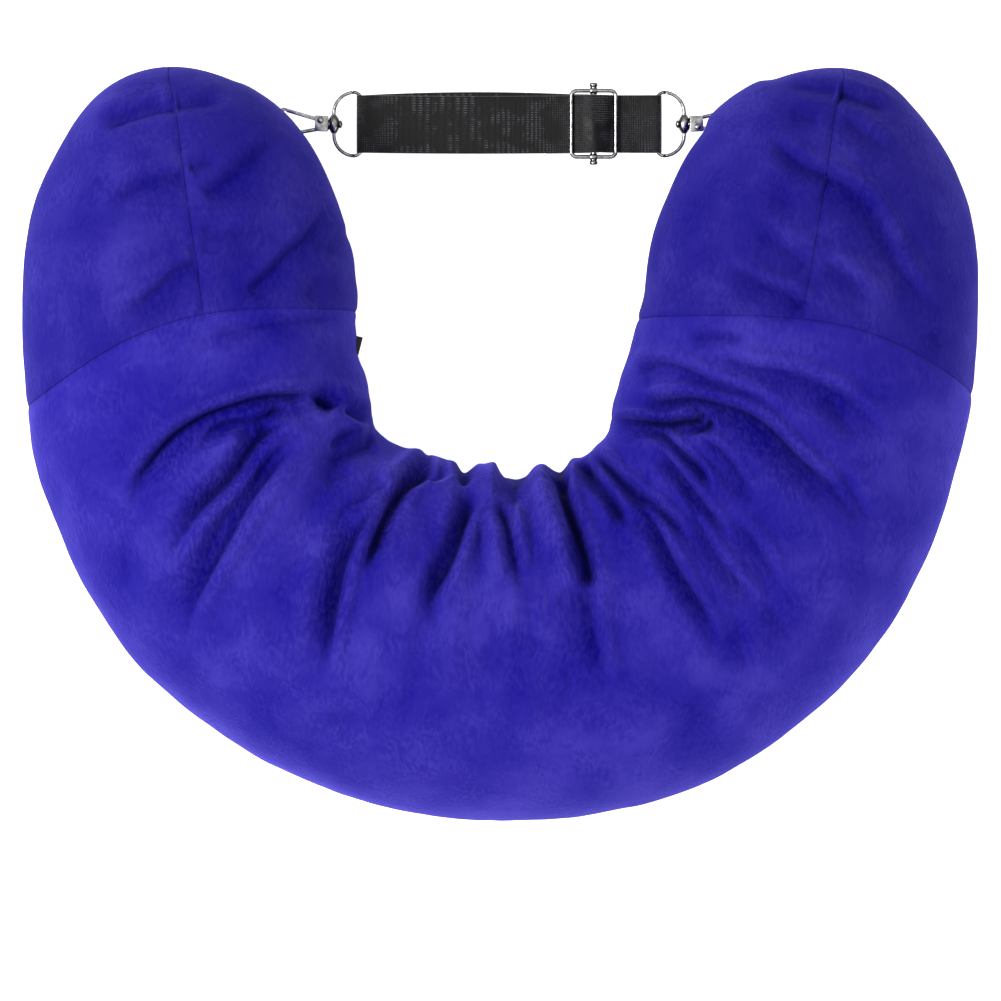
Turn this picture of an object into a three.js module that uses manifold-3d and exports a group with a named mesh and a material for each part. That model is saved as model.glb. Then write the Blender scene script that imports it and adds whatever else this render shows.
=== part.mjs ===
// U-shaped neck pillow of short-pile plush, with a clip-on webbing strap between the ends of its arms.
// Millimetres, +Z up. The pillow lies on its back on z = 0, its arms point along +Y.
import * as THREE from "three";
import { mergeVertices } from "three/addons/utils/BufferGeometryUtils.js";
import Module from "manifold-3d";

const wasm = await Module();
wasm.setup();

// Driving sizes of the stuffed tube
const PANEL_GAP = 0.3; // between two pieces that touch
const FOOT_SINK = 5; // how much of the round underside lies pressed flat
const SECTION_POWER = 2.15; // 2 is an ellipse, more is squarer
const NOSE_FROM_ABOVE = 117; // length of the rounded end of an arm, seen from above
const NOSE_FROM_SIDE = 112; // the same, seen from the side
const SEAM_DIP = 2.4; // how far a seam draws the cloth in
const SEAM_REACH = 5; // how far that shows beside the seam
const FOLD_TURN = [-30, 5]; // degrees from the section's level where the folds of the top take over
const FOOT_CLEAR = [2, 12]; // height over the foot where the folds of the underside begin, and are full
const UNDER_FOLD_SHARE = 0.75; // depth of the gathers of the underside, as a share of the top's
const LEAST_FOLD = 6; // least width of a fold beside its route, so that its slopes stay smooth

// One row for each section of the U, from the end of the left arm to the end of the right arm.
// in and out: where it meets the inner and the outer outline, seen from above. tall: its height.
const SECTIONS = [
  { inX: -81.5, inY: 188.5, outX: -247.5, outY: 188.5, tall: 138 },
  { inX: -76.5, inY: 166.5, outX: -242.5, outY: 166.5, tall: 138 },
  { inX: -75, inY: 121.5, outX: -241, outY: 121.5, tall: 139 },
  { inX: -73, inY: 79, outX: -239.5, outY: 66.5, tall: 141 },
  { inX: -73.5, inY: 65.5, outX: -237, outY: 18, tall: 143 },
  { inX: -72.5, inY: 44, outX: -233, outY: -8.5, tall: 145 },
  { inX: -64.5, inY: 19, outX: -227, outY: -28.5, tall: 146 },
  { inX: -61, inY: 6.5, outX: -207, outY: -73.5, tall: 148 },
  { inX: -44.5, inY: -3.5, outX: -173.5, outY: -118.5, tall: 149 },
  { inX: -26.5, inY: -8.5, outX: -119, outY: -158.5, tall: 149 },
  { inX: -10.5, inY: -13.5, outX: -60.5, outY: -181.5, tall: 149 },
  { inX: 7, inY: -15.5, outX: 2, outY: -188.5, tall: 149 },
  { inX: 22, inY: -11.5, outX: 69.5, outY: -180.5, tall: 149 },
  { inX: 39.5, inY: -7, outX: 123.5, outY: -158.5, tall: 149 },
  { inX: 51, inY: 1.5, outX: 173, outY: -118.5, tall: 149 },
  { inX: 54.5, inY: 11.5, outX: 202, outY: -78.5, tall: 148 },
  { inX: 56, inY: 21.5, outX: 220.5, outY: -38.5, tall: 146 },
  { inX: 63, inY: 41.5, outX: 232, outY: 5.5, tall: 144 },
  { inX: 68.5, inY: 62, outX: 235.5, outY: 24, tall: 143 },
  { inX: 73, inY: 79, outX: 238.5, outY: 66.5, tall: 141 },
  { inX: 74.5, inY: 121.5, outX: 240.5, outY: 121.5, tall: 139 },
  { inX: 76, inY: 166.5, outX: 242, outY: 166.5, tall: 138 },
  { inX: 83.5, inY: 188, outX: 249.5, outY: 188, tall: 138 },
];

// The two seams across the tube. row: its section; bow: how far its middle runs towards the arm's end;
// power: how square that bow is; skew: how much more it bows on the outer side.
const CROSS_SEAMS = {
  left: { row: 4, bow: 19, power: 4, skew: 0.25 },
  right: { row: 18, bow: 17, power: 2, skew: 0 },
};

// The seam along the crown of each cap, as its place across the tube from -1, inner, to 1, outer.
const CROWN_SEAMS = {
  left: { atEnd: 0.15, atCross: -0.075, power: 0.5 },
  right: { atEnd: 0.45, atCross: -0.05, power: 0.35 },
};

// One row for each fold, seen from above. route: its deepest line; deep: its depth, less than 0 for
// a ridge; left and right: its width beside the route; lip: height of the roll of cloth beside it,
// on the left where it is more than 0; opens and dies: the share of the route over which it does so.
const FOLDS = [
  { name: "left shoulder line", route: [[-89.5, 22], [-143, 17], [-175.5, -5], [-188, -36]],
    deep: 5, left: 7, right: 2.6, lip: -2.6, opens: 0.2, dies: 0.3 },
  { name: "left shoulder tuck", route: [[-114.5, 14.5], [-139.5, 10.5], [-156.5, -7]],
    deep: 3.5, left: 5, right: 4, lip: 0, opens: 0.3, dies: 0.5 },
  { name: "left sweep, upper", route: [[-99, 14.5], [-129, -8.5], [-157.5, -38.5], [-171.5, -65.5]],
    deep: 6.5, left: 4.5, right: 5, lip: 2, opens: 0.15, dies: 0.5 },
  { name: "left sweep, lower", route: [[-104.5, -3], [-127.5, -32.5], [-147.5, -64.5], [-157.5, -102.5]],
    deep: 5, left: 5, right: 8, lip: 3, opens: 0.25, dies: 0.5 },
  { name: "left lip", route: [[-119.5, 14.5], [-100.5, 19.5], [-82.5, 21], [-56, 15.5]],
    deep: 6.5, left: 8, right: 3.4, lip: -4, opens: 0.3, dies: 0.01 },
  { name: "left pocket, upper", route: [[-58, 3.5], [-79.5, -5], [-97.5, -9.5]],
    deep: 3, left: 4, right: 4, lip: 0, opens: 0.05, dies: 0.5 },
  { name: "left pocket, lower", route: [[-64.5, -9.5], [-75.5, -12.5], [-87.5, -18.5]],
    deep: 2.2, left: 4, right: 4, lip: 0, opens: 0.3, dies: 0.4 },
  { name: "gather 1", route: [[-44.5, 3.5], [-64.5, -28.5], [-80, -66], [-90.5, -114.5]],
    deep: 8, left: 4.4, right: 6, lip: 2.4, opens: 0.02, dies: 0.35 },
  { name: "gather 2", route: [[-29.5, 1.5], [-47, -19.5], [-59.5, -41.5], [-69.5, -73.5]],
    deep: 7, left: 4.4, right: 5.5, lip: 1.6, opens: 0.02, dies: 0.5 },
  { name: "gather 3", route: [[-12, -1.5], [-17.5, -34.5], [-29, -66], [-37.5, -88.5]],
    deep: 6.5, left: 5.5, right: 4.4, lip: -1.4, opens: 0.02, dies: 0.45 },
  { name: "gather 4", route: [[0.5, -3.5], [-4, -19.5], [4, -44.5], [6.5, -76]],
    deep: 3.8, left: 5, right: 5, lip: 0, opens: 0.02, dies: 0.6 },
  { name: "gather 4 roll", route: [[-5.5, -2], [-6.5, -14], [-8.5, -28]],
    deep: -3.2, left: 5, right: 5, lip: 0, opens: 0.02, dies: 0.6 },
  { name: "gather 5 hollow", route: [[6.5, -2], [6, -20.5], [8, -34]],
    deep: 4, left: 6, right: 6, lip: 0, opens: 0.02, dies: 0.45 },
  { name: "gather 6", route: [[15.5, -2.5], [20, -18.5], [22, -38]],
    deep: 4, left: 3.6, right: 4, lip: 3, opens: 0.02, dies: 0.5 },
  { name: "gather 7", route: [[29.5, 0.5], [35.5, -32.5], [44.5, -59.5], [42.5, -83.5], [50.5, -127.5]],
    deep: 8.6, left: 4.4, right: 5.4, lip: -2.2, opens: 0.02, dies: 0.45 },
  { name: "gather 8", route: [[42.5, 4.5], [45.5, -17.5], [55, -27], [65.5, -45.5]],
    deep: 7.2, left: 4, right: 5, lip: 1.6, opens: 0.02, dies: 0.6 },
  { name: "gather 9", route: [[49.5, 10.5], [66.5, -21.5], [83.5, -35.5], [97, -57.5]],
    deep: 5.6, left: 4.5, right: 5.5, lip: 2, opens: 0.02, dies: 0.5 },
  { name: "gather 10", route: [[62.5, -22.5], [80.5, -47.5], [99, -80.5], [107.5, -118.5]],
    deep: 6, left: 5, right: 8, lip: 1.6, opens: 0.3, dies: 0.5 },
  { name: "right arm line, upper", route: [[92.5, 52.5], [104.5, 53.5], [117.5, 52.5]],
    deep: 2.4, left: 4, right: 6, lip: 0, opens: 0.4, dies: 0.4 },
  { name: "right arm line, long", route: [[97.5, 45], [129.5, 36], [167.5, 26], [196, -0.5]],
    deep: 3, left: 6, right: 7, lip: 0, opens: 0.3, dies: 0.4 },
  { name: "right arm line, lower", route: [[58.5, 35.5], [94.5, 35], [120.5, 24.5], [143.5, 10]],
    deep: 2.6, left: 5, right: 5, lip: 0, opens: 0.05, dies: 0.5 },
  { name: "right shoulder line", route: [[56.5, 18], [95.5, 23], [130.5, 9], [165.5, -17.5], [181.5, -40.5]],
    deep: 5.4, left: 2.6, right: 7, lip: 2.6, opens: 0.15, dies: 0.35 },
  { name: "right lip", route: [[46.5, 7.5], [75.5, 11], [94.5, 11.5], [111.5, 11]],
    deep: 7, left: 3.2, right: 6, lip: 4, opens: 0.02, dies: 0.35 },
  { name: "right pocket", route: [[107.5, 13.5], [98.5, 10.5], [94.5, 1.5]],
    deep: 5, left: 4, right: 4, lip: 0, opens: 0.3, dies: 0.4 },
  { name: "right sweep 1", route: [[69.5, 9.5], [85.5, 1], [99.5, -12.5], [107.5, -23.5]],
    deep: 5, left: 4.4, right: 5, lip: 1.6, opens: 0.2, dies: 0.35 },
  { name: "right sweep 2", route: [[94.5, 2.5], [117.5, -11.5], [125, -27.5]],
    deep: 3, left: 6, right: 6, lip: 0, opens: 0.3, dies: 0.5 },
  { name: "right sweep 3", route: [[82.5, -10], [106.5, -34], [125.5, -53.5]],
    deep: 3.6, left: 6, right: 7, lip: 0, opens: 0.3, dies: 0.5 },
  { name: "right sweep 4", route: [[98.5, -39.5], [119.5, -71], [138.5, -101]],
    deep: 3, left: 8, right: 8, lip: 0, opens: 0.4, dies: 0.5 },
  { name: "lower hollow 1", route: [[33.5, -98.5], [29.5, -129.5], [21, -152.5]],
    deep: 1.8, left: 9, right: 9, lip: 0, opens: 0.4, dies: 0.5 },
  { name: "lower hollow 2", route: [[89.5, -128.5], [102, -137.5], [117, -144.5]],
    deep: 1.6, left: 9, right: 9, lip: 0, opens: 0.4, dies: 0.5 },
  { name: "left cap, tight crease", route: [[-161.5, 168], [-175.5, 165.5], [-196.5, 158.5]],
    deep: 4, left: 3.6, right: 5, lip: 0, opens: 0.05, dies: 0.6 },
  { name: "left cap, end crease", route: [[-168.5, 173.5], [-186.5, 168], [-201.5, 162]],
    deep: 2.6, left: 4, right: 5, lip: 0, opens: 0.2, dies: 0.5 },
  { name: "left cap, inner crease", route: [[-163.5, 169], [-150.5, 171.5], [-136.5, 173]],
    deep: 3, left: 5, right: 4, lip: 0, opens: 0.05, dies: 0.5 },
  { name: "left cap, outer hollow", route: [[-156.5, 136], [-176.5, 131], [-196.5, 121]],
    deep: 3, left: 7, right: 6, lip: -1.4, opens: 0.15, dies: 0.5 },
  { name: "left cap, inner hollow", route: [[-151.5, 126], [-128.5, 138.5], [-112, 152.5]],
    deep: 3, left: 7, right: 7, lip: 0, opens: 0.15, dies: 0.5 },
  { name: "left cap, low hollow", route: [[-152, 91], [-168.5, 82], [-186.5, 65.5]],
    deep: 3, left: 7, right: 6, lip: -1.4, opens: 0.15, dies: 0.5 },
  { name: "left cap, long hollow", route: [[-126.5, 73], [-106.5, 94.5], [-84.5, 122.5]],
    deep: 3, left: 8, right: 8, lip: 0, opens: 0.2, dies: 0.4 },
  { name: "left cap, inner edge hollow", route: [[-101.5, 70.5], [-86.5, 93.5], [-80.5, 110.5]],
    deep: 2.4, left: 5, right: 5, lip: 0, opens: 0.2, dies: 0.4 },
  { name: "right cap, tight crease", route: [[167.5, 176.5], [178.5, 174.5], [191.5, 168]],
    deep: 3.2, left: 4, right: 4, lip: 0, opens: 0.05, dies: 0.5 },
  { name: "right cap, inner crease", route: [[169.5, 177], [155.5, 179], [137.5, 178]],
    deep: 2.6, left: 4, right: 4, lip: 0, opens: 0.05, dies: 0.5 },
  { name: "right cap, long hollow", route: [[128, 155], [150.5, 139.5], [178.5, 128], [200.5, 94.5]],
    deep: 4, left: 6, right: 9, lip: 2, opens: 0.25, dies: 0.4 },
  { name: "right cap, low hollow", route: [[110.5, 90], [134.5, 78], [151, 65.5]],
    deep: 3.6, left: 6, right: 8, lip: 2, opens: 0.3, dies: 0.3 },
];
const FOLD_STEPS = 14; // short straight steps along a fold's route
const LIP_PLACE = 1.9; // how many widths from the route a lip has its crest
const FREE_END = 12; // length over which folds and seams fade out at the tip of an arm

// Driving sizes of the strap
const STRAP = { y: 161.7, z: 22, leftBar: -70.6, rightBar: 78.8, slider: 46.8 };
const WEBBING = { wide: 29.2, thick: 1.3 };
const D_RING = { wire: 1.7, high: 34, deep: 14.8, corner: 7 };
const BOSS = { long: 9.4, radius: 3, half: 2.6, bore: 1.5 };
const BOSS_SIDES = [[0.42, 1], [0.7, 0.72], [0.94, 0.4], [1, 0]]; // shares of its radius and half length
const SLIDER = { wire: 2.1, wide: 24.6, high: 35.6, corner: 3.3, lift: 3.4, straight: 4 };
const SLIDER_BAR = { radius: 1.2, knob: 2.1, sleeve: 1.85, sleeveLong: 3.6, out: 3.6 };
const HOOK = { wire: 2, post: 1.2, head: 2.1, headThick: 1.3, leftTilt: 2.6, rightTilt: 1.5 };
const HOOK_ARM = [[5, -2.5], [12, -3.8], [18, -5.3], [23, -6.7], [27.4, -5.9], [30, -2.8], [30.2, 1.2],
  [28.4, 4.7], [25.6, 6.3]]; // the bent wire from the bracket to its tip, in the hook's frame
const ARM_ROOT = { x: 5.9, y: -2.6, long: 5.4, wide: 2.4 };
const BRACKET = { from: 2.9, to: 9.6, half: 3.9, plate: 0.8, room: 1.75, web: 1 };
const RIVET = { radius: 1.7, proud: 0.6, pinProud: 0.4 };
const GATE = { pivotA: 6.85, pivotB: 1.6, wide: 1.9, thick: 2.6, pin: 0.9, slack: 0.3, tilt: 14, long: 19.1 };
const GATE_EYE = { radius: 2, slant: 1.2 }; // its round root, and how much shorter its inner edge is
const LOOP = { wide: 6, thick: 1.2, bend: 2.5, bow: 29.7, rise: -50, long: 34 };
const SUNK = 0.4; // how far one part of a piece runs into the next
const CUTTER = 20; // longer than any part that it cuts
const CLOTH_CUT = PANEL_GAP + 0.1; // clearance of a trimming's root from the plush
const PULL_TAB = { x: -74.6, y: 49.6, z: 66, long: 9, high: 9, thick: 2, turn: -14 };

const PLUSH = new THREE.MeshStandardMaterial({ color: 0x2d2699, roughness: 0.95, metalness: 0 });
const BLACK_WEB = new THREE.MeshStandardMaterial({ color: 0x1b1b1d, roughness: 0.8, metalness: 0 });
const NICKEL = new THREE.MeshStandardMaterial({ color: 0xb9b9bd, roughness: 0.22, metalness: 1 });
const BLACK_TAB = new THREE.MeshStandardMaterial({ color: 0x121214, roughness: 0.55, metalness: 0 });

const radians = THREE.MathUtils.degToRad;
const lerp = THREE.MathUtils.lerp;
const smooth = (low, high, value) => THREE.MathUtils.smoothstep(value, low, high);
const vector = (x, y, z) => new THREE.Vector3(x, y, z);

// Smooth values along the U: one curve through the sections' rows, by distance along the centre line.
function measureSections(rows) {
  const centre = (row) => [(row.inX + row.outX) / 2, (row.inY + row.outY) / 2];
  const at = [0];
  for (let i = 1; i < rows.length; i += 1) {
    const [ax, ay] = centre(rows[i - 1]);
    const [bx, by] = centre(rows[i]);
    at.push(at[i - 1] + Math.hypot(bx - ax, by - ay));
  }
  return at;
}
const ROW_AT = measureSections(SECTIONS);
const LENGTH = ROW_AT[ROW_AT.length - 1];

function slopeAt(i, column) {
  const before = Math.max(i - 1, 0);
  const after = Math.min(i + 1, SECTIONS.length - 1);
  return (SECTIONS[after][column] - SECTIONS[before][column]) / (ROW_AT[after] - ROW_AT[before]);
}

function sectionAt(s) {
  const place = THREE.MathUtils.clamp(s, 0, LENGTH);
  let i = 0;
  while (i < SECTIONS.length - 2 && place > ROW_AT[i + 1]) i += 1;
  const span = ROW_AT[i + 1] - ROW_AT[i];
  const t = (place - ROW_AT[i]) / span;
  const section = {};
  for (const column of ["inX", "inY", "outX", "outY", "tall"]) {
    section[column] =
      (1 + 2 * t) * (1 - t) ** 2 * SECTIONS[i][column] +
      t * (1 - t) ** 2 * span * slopeAt(i, column) +
      t * t * (3 - 2 * t) * SECTIONS[i + 1][column] +
      t * t * (t - 1) * span * slopeAt(i + 1, column);
  }
  return section;
}

const power = (value) => Math.sign(value) * Math.abs(value) ** (2 / SECTION_POWER);
const noseShare = (end, length) => Math.sqrt(1 - (1 - Math.min(end / length, 1)) ** 2);

// The smooth stuffed tube. angle 0 is the outer side, 90 degrees the crown, 180 the inner side.
function bareTube(s, angle) {
  const section = sectionAt(s);
  const end = Math.max(Math.min(s, LENGTH - s), 0);
  const across = (1 + power(Math.cos(angle)) * noseShare(end, NOSE_FROM_ABOVE)) / 2;
  const up = (1 + power(Math.sin(angle)) * noseShare(end, NOSE_FROM_SIDE)) / 2;
  return vector(
    lerp(section.inX, section.outX, across),
    lerp(section.inY, section.outY, across),
    section.tall * up - FOOT_SINK,
  );
}

function outwards(s, angle) {
  const step = 0.5;
  const turn = 0.01;
  const inside = THREE.MathUtils.clamp(s, 2 * step, LENGTH - 2 * step);
  const along = bareTube(inside + step, angle).sub(bareTube(inside - step, angle));
  const around = bareTube(inside, angle + turn).sub(bareTube(inside, angle - turn));
  return along.cross(around).normalize();
}

// The folds' routes, as short straight steps
function foldSteps(fold) {
  const curve = new THREE.CatmullRomCurve3(fold.route.map(([x, y]) => vector(x, y, 0)), false, "centripetal");
  return curve.getPoints(FOLD_STEPS);
}
const FOLD_LINES = FOLDS.map((fold) => ({ fold, points: foldSteps(fold) }));

function nearestOnRoute(points, x, y) {
  let best = { far: Infinity, side: 0, share: 0 };
  for (let i = 0; i < points.length - 1; i += 1) {
    const dx = points[i + 1].x - points[i].x;
    const dy = points[i + 1].y - points[i].y;
    const along = ((x - points[i].x) * dx + (y - points[i].y) * dy) / (dx * dx + dy * dy);
    const t = THREE.MathUtils.clamp(along, 0, 1);
    const ex = x - points[i].x - t * dx;
    const ey = y - points[i].y - t * dy;
    const far = Math.hypot(ex, ey);
    if (far < best.far) best = { far, side: Math.sign(dx * ey - dy * ex) || 1, share: (i + t) / FOLD_STEPS };
  }
  return best;
}

// How far the folds move the cloth outwards at a place seen from above
function foldHeight(x, y) {
  let height = 0;
  for (const { fold, points } of FOLD_LINES) {
    const { far, side, share } = nearestOnRoute(points, x, y);
    const width = Math.max(side > 0 ? fold.left : fold.right, LEAST_FOLD);
    const shown = smooth(0, fold.opens, share) * smooth(0, fold.dies, 1 - share);
    height -= fold.deep * shown * Math.exp(-((far / width) ** 2));
    if (fold.lip * side > 0) {
      height += Math.abs(fold.lip) * shown * Math.exp(-(((far - LIP_PLACE * width) / width) ** 2));
    }
  }
  return height;
}

function crossSeamAt(seam, angle) {
  const across = power(Math.cos(angle));
  const towardsEnd = seam === CROSS_SEAMS.left ? -1 : 1;
  const bow = seam.bow * (1 - Math.abs(across) ** seam.power) * (1 + seam.skew * across);
  return ROW_AT[seam.row] + towardsEnd * bow;
}

function crownAngle(across) {
  return Math.acos(Math.sign(across) * Math.abs(across) ** (SECTION_POWER / 2));
}

function crownSeamAngle(side, s) {
  const seam = CROWN_SEAMS[side];
  const end = side === "left" ? s : LENGTH - s;
  const whole = side === "left" ? ROW_AT[CROSS_SEAMS.left.row] : LENGTH - ROW_AT[CROSS_SEAMS.right.row];
  const share = Math.min(Math.max(end, 0) / whole, 1) ** seam.power;
  return crownAngle(lerp(seam.atEnd, seam.atCross, share));
}

function seamPull(s, angle) {
  let pull = 0;
  for (const side of ["left", "right"]) {
    const cross = crossSeamAt(CROSS_SEAMS[side], angle);
    pull += Math.exp(-(((s - cross) / SEAM_REACH) ** 2));
    const inCap = side === "left" ? s <= cross : s >= cross;
    if (!inCap) continue;
    const section = sectionAt(s);
    const half = Math.hypot(section.outX - section.inX, section.outY - section.inY) / 2;
    const turned = Math.atan2(Math.sin(angle), Math.cos(angle));
    const crown = turned - crownSeamAngle(side, s);
    const under = turned + Math.PI / 2;
    const near = Math.min(Math.abs(crown), Math.abs(under)) * half;
    pull = Math.max(pull, Math.exp(-((near / SEAM_REACH) ** 2)));
  }
  return SEAM_DIP * Math.min(pull, 1);
}

// The finished cloth surface: the tube, moved by its folds and seams, flat where it lies on z = 0.
function cloth(s, angle) {
  const bare = bareTube(s, angle);
  const end = Math.min(s, LENGTH - s);
  const [turnLow, turnHigh] = FOLD_TURN.map((turn) => Math.sin(radians(turn)));
  const onTop = smooth(turnLow, turnHigh, Math.sin(angle));
  const under = (1 - onTop) * smooth(...FOOT_CLEAR, bare.z);
  const fold = onTop * foldHeight(bare.x, bare.y) + UNDER_FOLD_SHARE * under * foldHeight(-bare.x, bare.y);
  const move = (fold - seamPull(s, angle)) * smooth(0, FREE_END, end);
  const point = bare.addScaledVector(outwards(s, angle), move);
  point.z = Math.max(point.z, 0);
  return point;
}

// Triangles of one closed piece, welded and turned into a geometry
class Skin {
  constructor() {
    this.corners = [];
  }

  triangle(a, b, c) {
    this.corners.push(a, b, c);
  }

  sheet(rows, turned = false) {
    for (let i = 0; i < rows.length - 1; i += 1) {
      for (let j = 0; j < rows[i].length - 1; j += 1) {
        const [a, b, c, d] = [rows[i][j], rows[i + 1][j], rows[i + 1][j + 1], rows[i][j + 1]];
        if (turned) {
          this.triangle(a, c, b);
          this.triangle(a, d, c);
        } else {
          this.triangle(a, b, c);
          this.triangle(a, c, d);
        }
      }
    }
  }

  fan(middle, ring, turned = false) {
    for (let j = 0; j < ring.length - 1; j += 1) {
      if (turned) this.triangle(middle, ring[j + 1], ring[j]);
      else this.triangle(middle, ring[j], ring[j + 1]);
    }
  }

  geometry() {
    const flat = this.corners.flatMap((corner) => [corner.x, corner.y, corner.z]);
    const loose = new THREE.BufferGeometry();
    loose.setAttribute("position", new THREE.Float32BufferAttribute(flat, 3));
    const welded = mergeVertices(loose, 1e-4);
    const index = welded.index.array;
    const kept = [];
    for (let i = 0; i < index.length; i += 3) {
      const [a, b, c] = [index[i], index[i + 1], index[i + 2]];
      if (a !== b && b !== c && c !== a) kept.push(a, b, c);
    }
    welded.setIndex(kept);
    welded.computeVertexNormals();
    return welded;
  }
}

// Even shares from one value to another, both included
function evenShares(from, to, count) {
  return Array.from({ length: count }, (_, i) => lerp(from, to, i / (count - 1)));
}

// Columns from the seam under the tube to its crown seam, closer together above its level, with one
// close to each seam, where the cloth is drawn in
const COLUMN_BY_SEAM = 0.03;
const UNDER_COLUMNS = 6;
const TOP_COLUMNS = 13;
const LEVEL_SHARE = 0.44;
const HALF_COLUMNS = UNDER_COLUMNS + TOP_COLUMNS;
const COLUMN_SHARES = [
  0,
  ...evenShares(COLUMN_BY_SEAM, LEVEL_SHARE, UNDER_COLUMNS),
  ...evenShares(LEVEL_SHARE, 1 - COLUMN_BY_SEAM, TOP_COLUMNS).slice(1),
  1,
];
const MIDDLE_RINGS = 96;
const RING_BY_SEAM = 0.008;
const CAP_RINGS = 15;
const CAP_RING_BY_SEAM = 0.965;
const QUARTER = Math.PI / 2;

const outerAngles = (crown) => COLUMN_SHARES.map((share) => lerp(-QUARTER, crown, share));
const innerAngles = (crown) => COLUMN_SHARES.map((share) => lerp(3 * QUARTER, crown, share)).reverse();

function alongTube(s) {
  const ahead = bareTube(Math.min(s + 1, LENGTH - 2), QUARTER);
  const behind = bareTube(Math.max(s - 1, 2), QUARTER);
  return ahead.sub(behind).setZ(0).normalize();
}

function acrossTube(s) {
  const section = sectionAt(s);
  return vector(section.outX - section.inX, section.outY - section.inY, 0).normalize();
}

const between = (a, b) => a.clone().add(b).multiplyScalar(0.5);

// Half of a cap: the plush on one side of the crown seam, with walls where it meets its neighbours.
function capHalf(side, half) {
  const left = side === "left";
  const seam = CROSS_SEAMS[side];
  const outer = half === "outer";
  const apart = ((outer ? 1 : -1) * PANEL_GAP) / 2;
  const ringShares = evenShares(0, QUARTER, CAP_RINGS + 1).map((turn) => 1 - Math.cos(turn));
  ringShares.splice(CAP_RINGS, 0, CAP_RING_BY_SEAM);
  const rows = ringShares.map((share) => {
    const placeAt = (angle) => (left ? crossSeamAt(seam, angle) * share
      : LENGTH - (LENGTH - crossSeamAt(seam, angle)) * share);
    const crown = crownSeamAngle(side, placeAt(QUARTER));
    const angles = outer ? outerAngles(crown) : innerAngles(crown);
    return angles.map((angle, j) => {
      const s = placeAt(angle);
      const point = cloth(s, angle);
      const atSeam = j === 0 || j === angles.length - 1;
      if (atSeam || share === 0) point.addScaledVector(acrossTube(s), apart);
      if (share === 1) point.addScaledVector(alongTube(s), ((left ? -1 : 1) * PANEL_GAP) / 2);
      return point;
    });
  });
  if (!left) rows.reverse();
  const wall = rows.map((row) => {
    const [low, high] = outer ? [row[0], row[row.length - 1]] : [row[row.length - 1], row[0]];
    return [low, between(low, high), high];
  });
  const skin = new Skin();
  skin.sheet(rows);
  skin.sheet(wall, outer);
  const last = left ? rows.length - 1 : 0;
  skin.fan(wall[last][1], rows[last], left);
  return skin.geometry();
}

// The gathered middle: one ring of cloth after another, closed by a wall at each cross seam.
function middlePanel() {
  const crownLeft = crownSeamAngle("left", crossSeamAt(CROSS_SEAMS.left, QUARTER));
  const crownRight = crownSeamAngle("right", crossSeamAt(CROSS_SEAMS.right, QUARTER));
  const ringShares = [0, ...evenShares(RING_BY_SEAM, 1 - RING_BY_SEAM, MIDDLE_RINGS - 1), 1];
  const rows = ringShares.map((share) => {
    const crown = lerp(crownLeft, crownRight, share);
    const angles = [...outerAngles(crown), ...innerAngles(crown).slice(1)];
    return angles.map((angle) => {
      const from = crossSeamAt(CROSS_SEAMS.left, angle);
      const to = crossSeamAt(CROSS_SEAMS.right, angle);
      const s = lerp(from, to, share);
      const point = cloth(s, angle);
      if (share === 0) point.addScaledVector(alongTube(s), PANEL_GAP / 2);
      if (share === 1) point.addScaledVector(alongTube(s), -PANEL_GAP / 2);
      return point;
    });
  });
  const skin = new Skin();
  skin.sheet(rows);
  const endMiddle = (row) => between(row[0], row[HALF_COLUMNS]);
  skin.fan(endMiddle(rows[0]), rows[0]);
  skin.fan(endMiddle(rows[rows.length - 1]), rows[rows.length - 1], true);
  return skin.geometry();
}

// Joining and cutting closed pieces
function solid(geometry) {
  const bare = geometry.clone();
  bare.deleteAttribute("normal");
  bare.deleteAttribute("uv");
  const welded = mergeVertices(bare, 1e-4);
  return new wasm.Manifold(new wasm.Mesh({
    numProp: 3,
    vertProperties: Float32Array.from(welded.attributes.position.array),
    triVerts: Uint32Array.from(welded.index.array),
  }));
}

function geometryOf(body) {
  const mesh = body.getMesh();
  const made = new THREE.BufferGeometry();
  made.setAttribute("position", new THREE.BufferAttribute(mesh.vertProperties, 3));
  made.setIndex(new THREE.BufferAttribute(mesh.triVerts, 1));
  made.computeVertexNormals();
  return made;
}

const joined = (geometries) => geometries.map(solid).reduce((all, next) => all.add(next));

function wireAlong(points, radius, steps, sides = 8) {
  const circle = new THREE.Shape();
  for (let i = 0; i < sides; i += 1) {
    const turn = (2 * Math.PI * (i + 0.5)) / sides;
    circle[i === 0 ? "moveTo" : "lineTo"](radius * Math.cos(turn), radius * Math.sin(turn));
  }
  circle.closePath();
  const extrudePath = new THREE.CatmullRomCurve3(points, false, "centripetal");
  return new THREE.ExtrudeGeometry(circle, { steps, extrudePath, bevelEnabled: false });
}

function rodAlong(axis, radius, long, sides = 12) {
  const rod = new THREE.CylinderGeometry(radius, radius, long, sides);
  if (axis === "x") rod.rotateZ(QUARTER);
  if (axis === "z") rod.rotateX(QUARTER);
  return rod;
}

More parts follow.
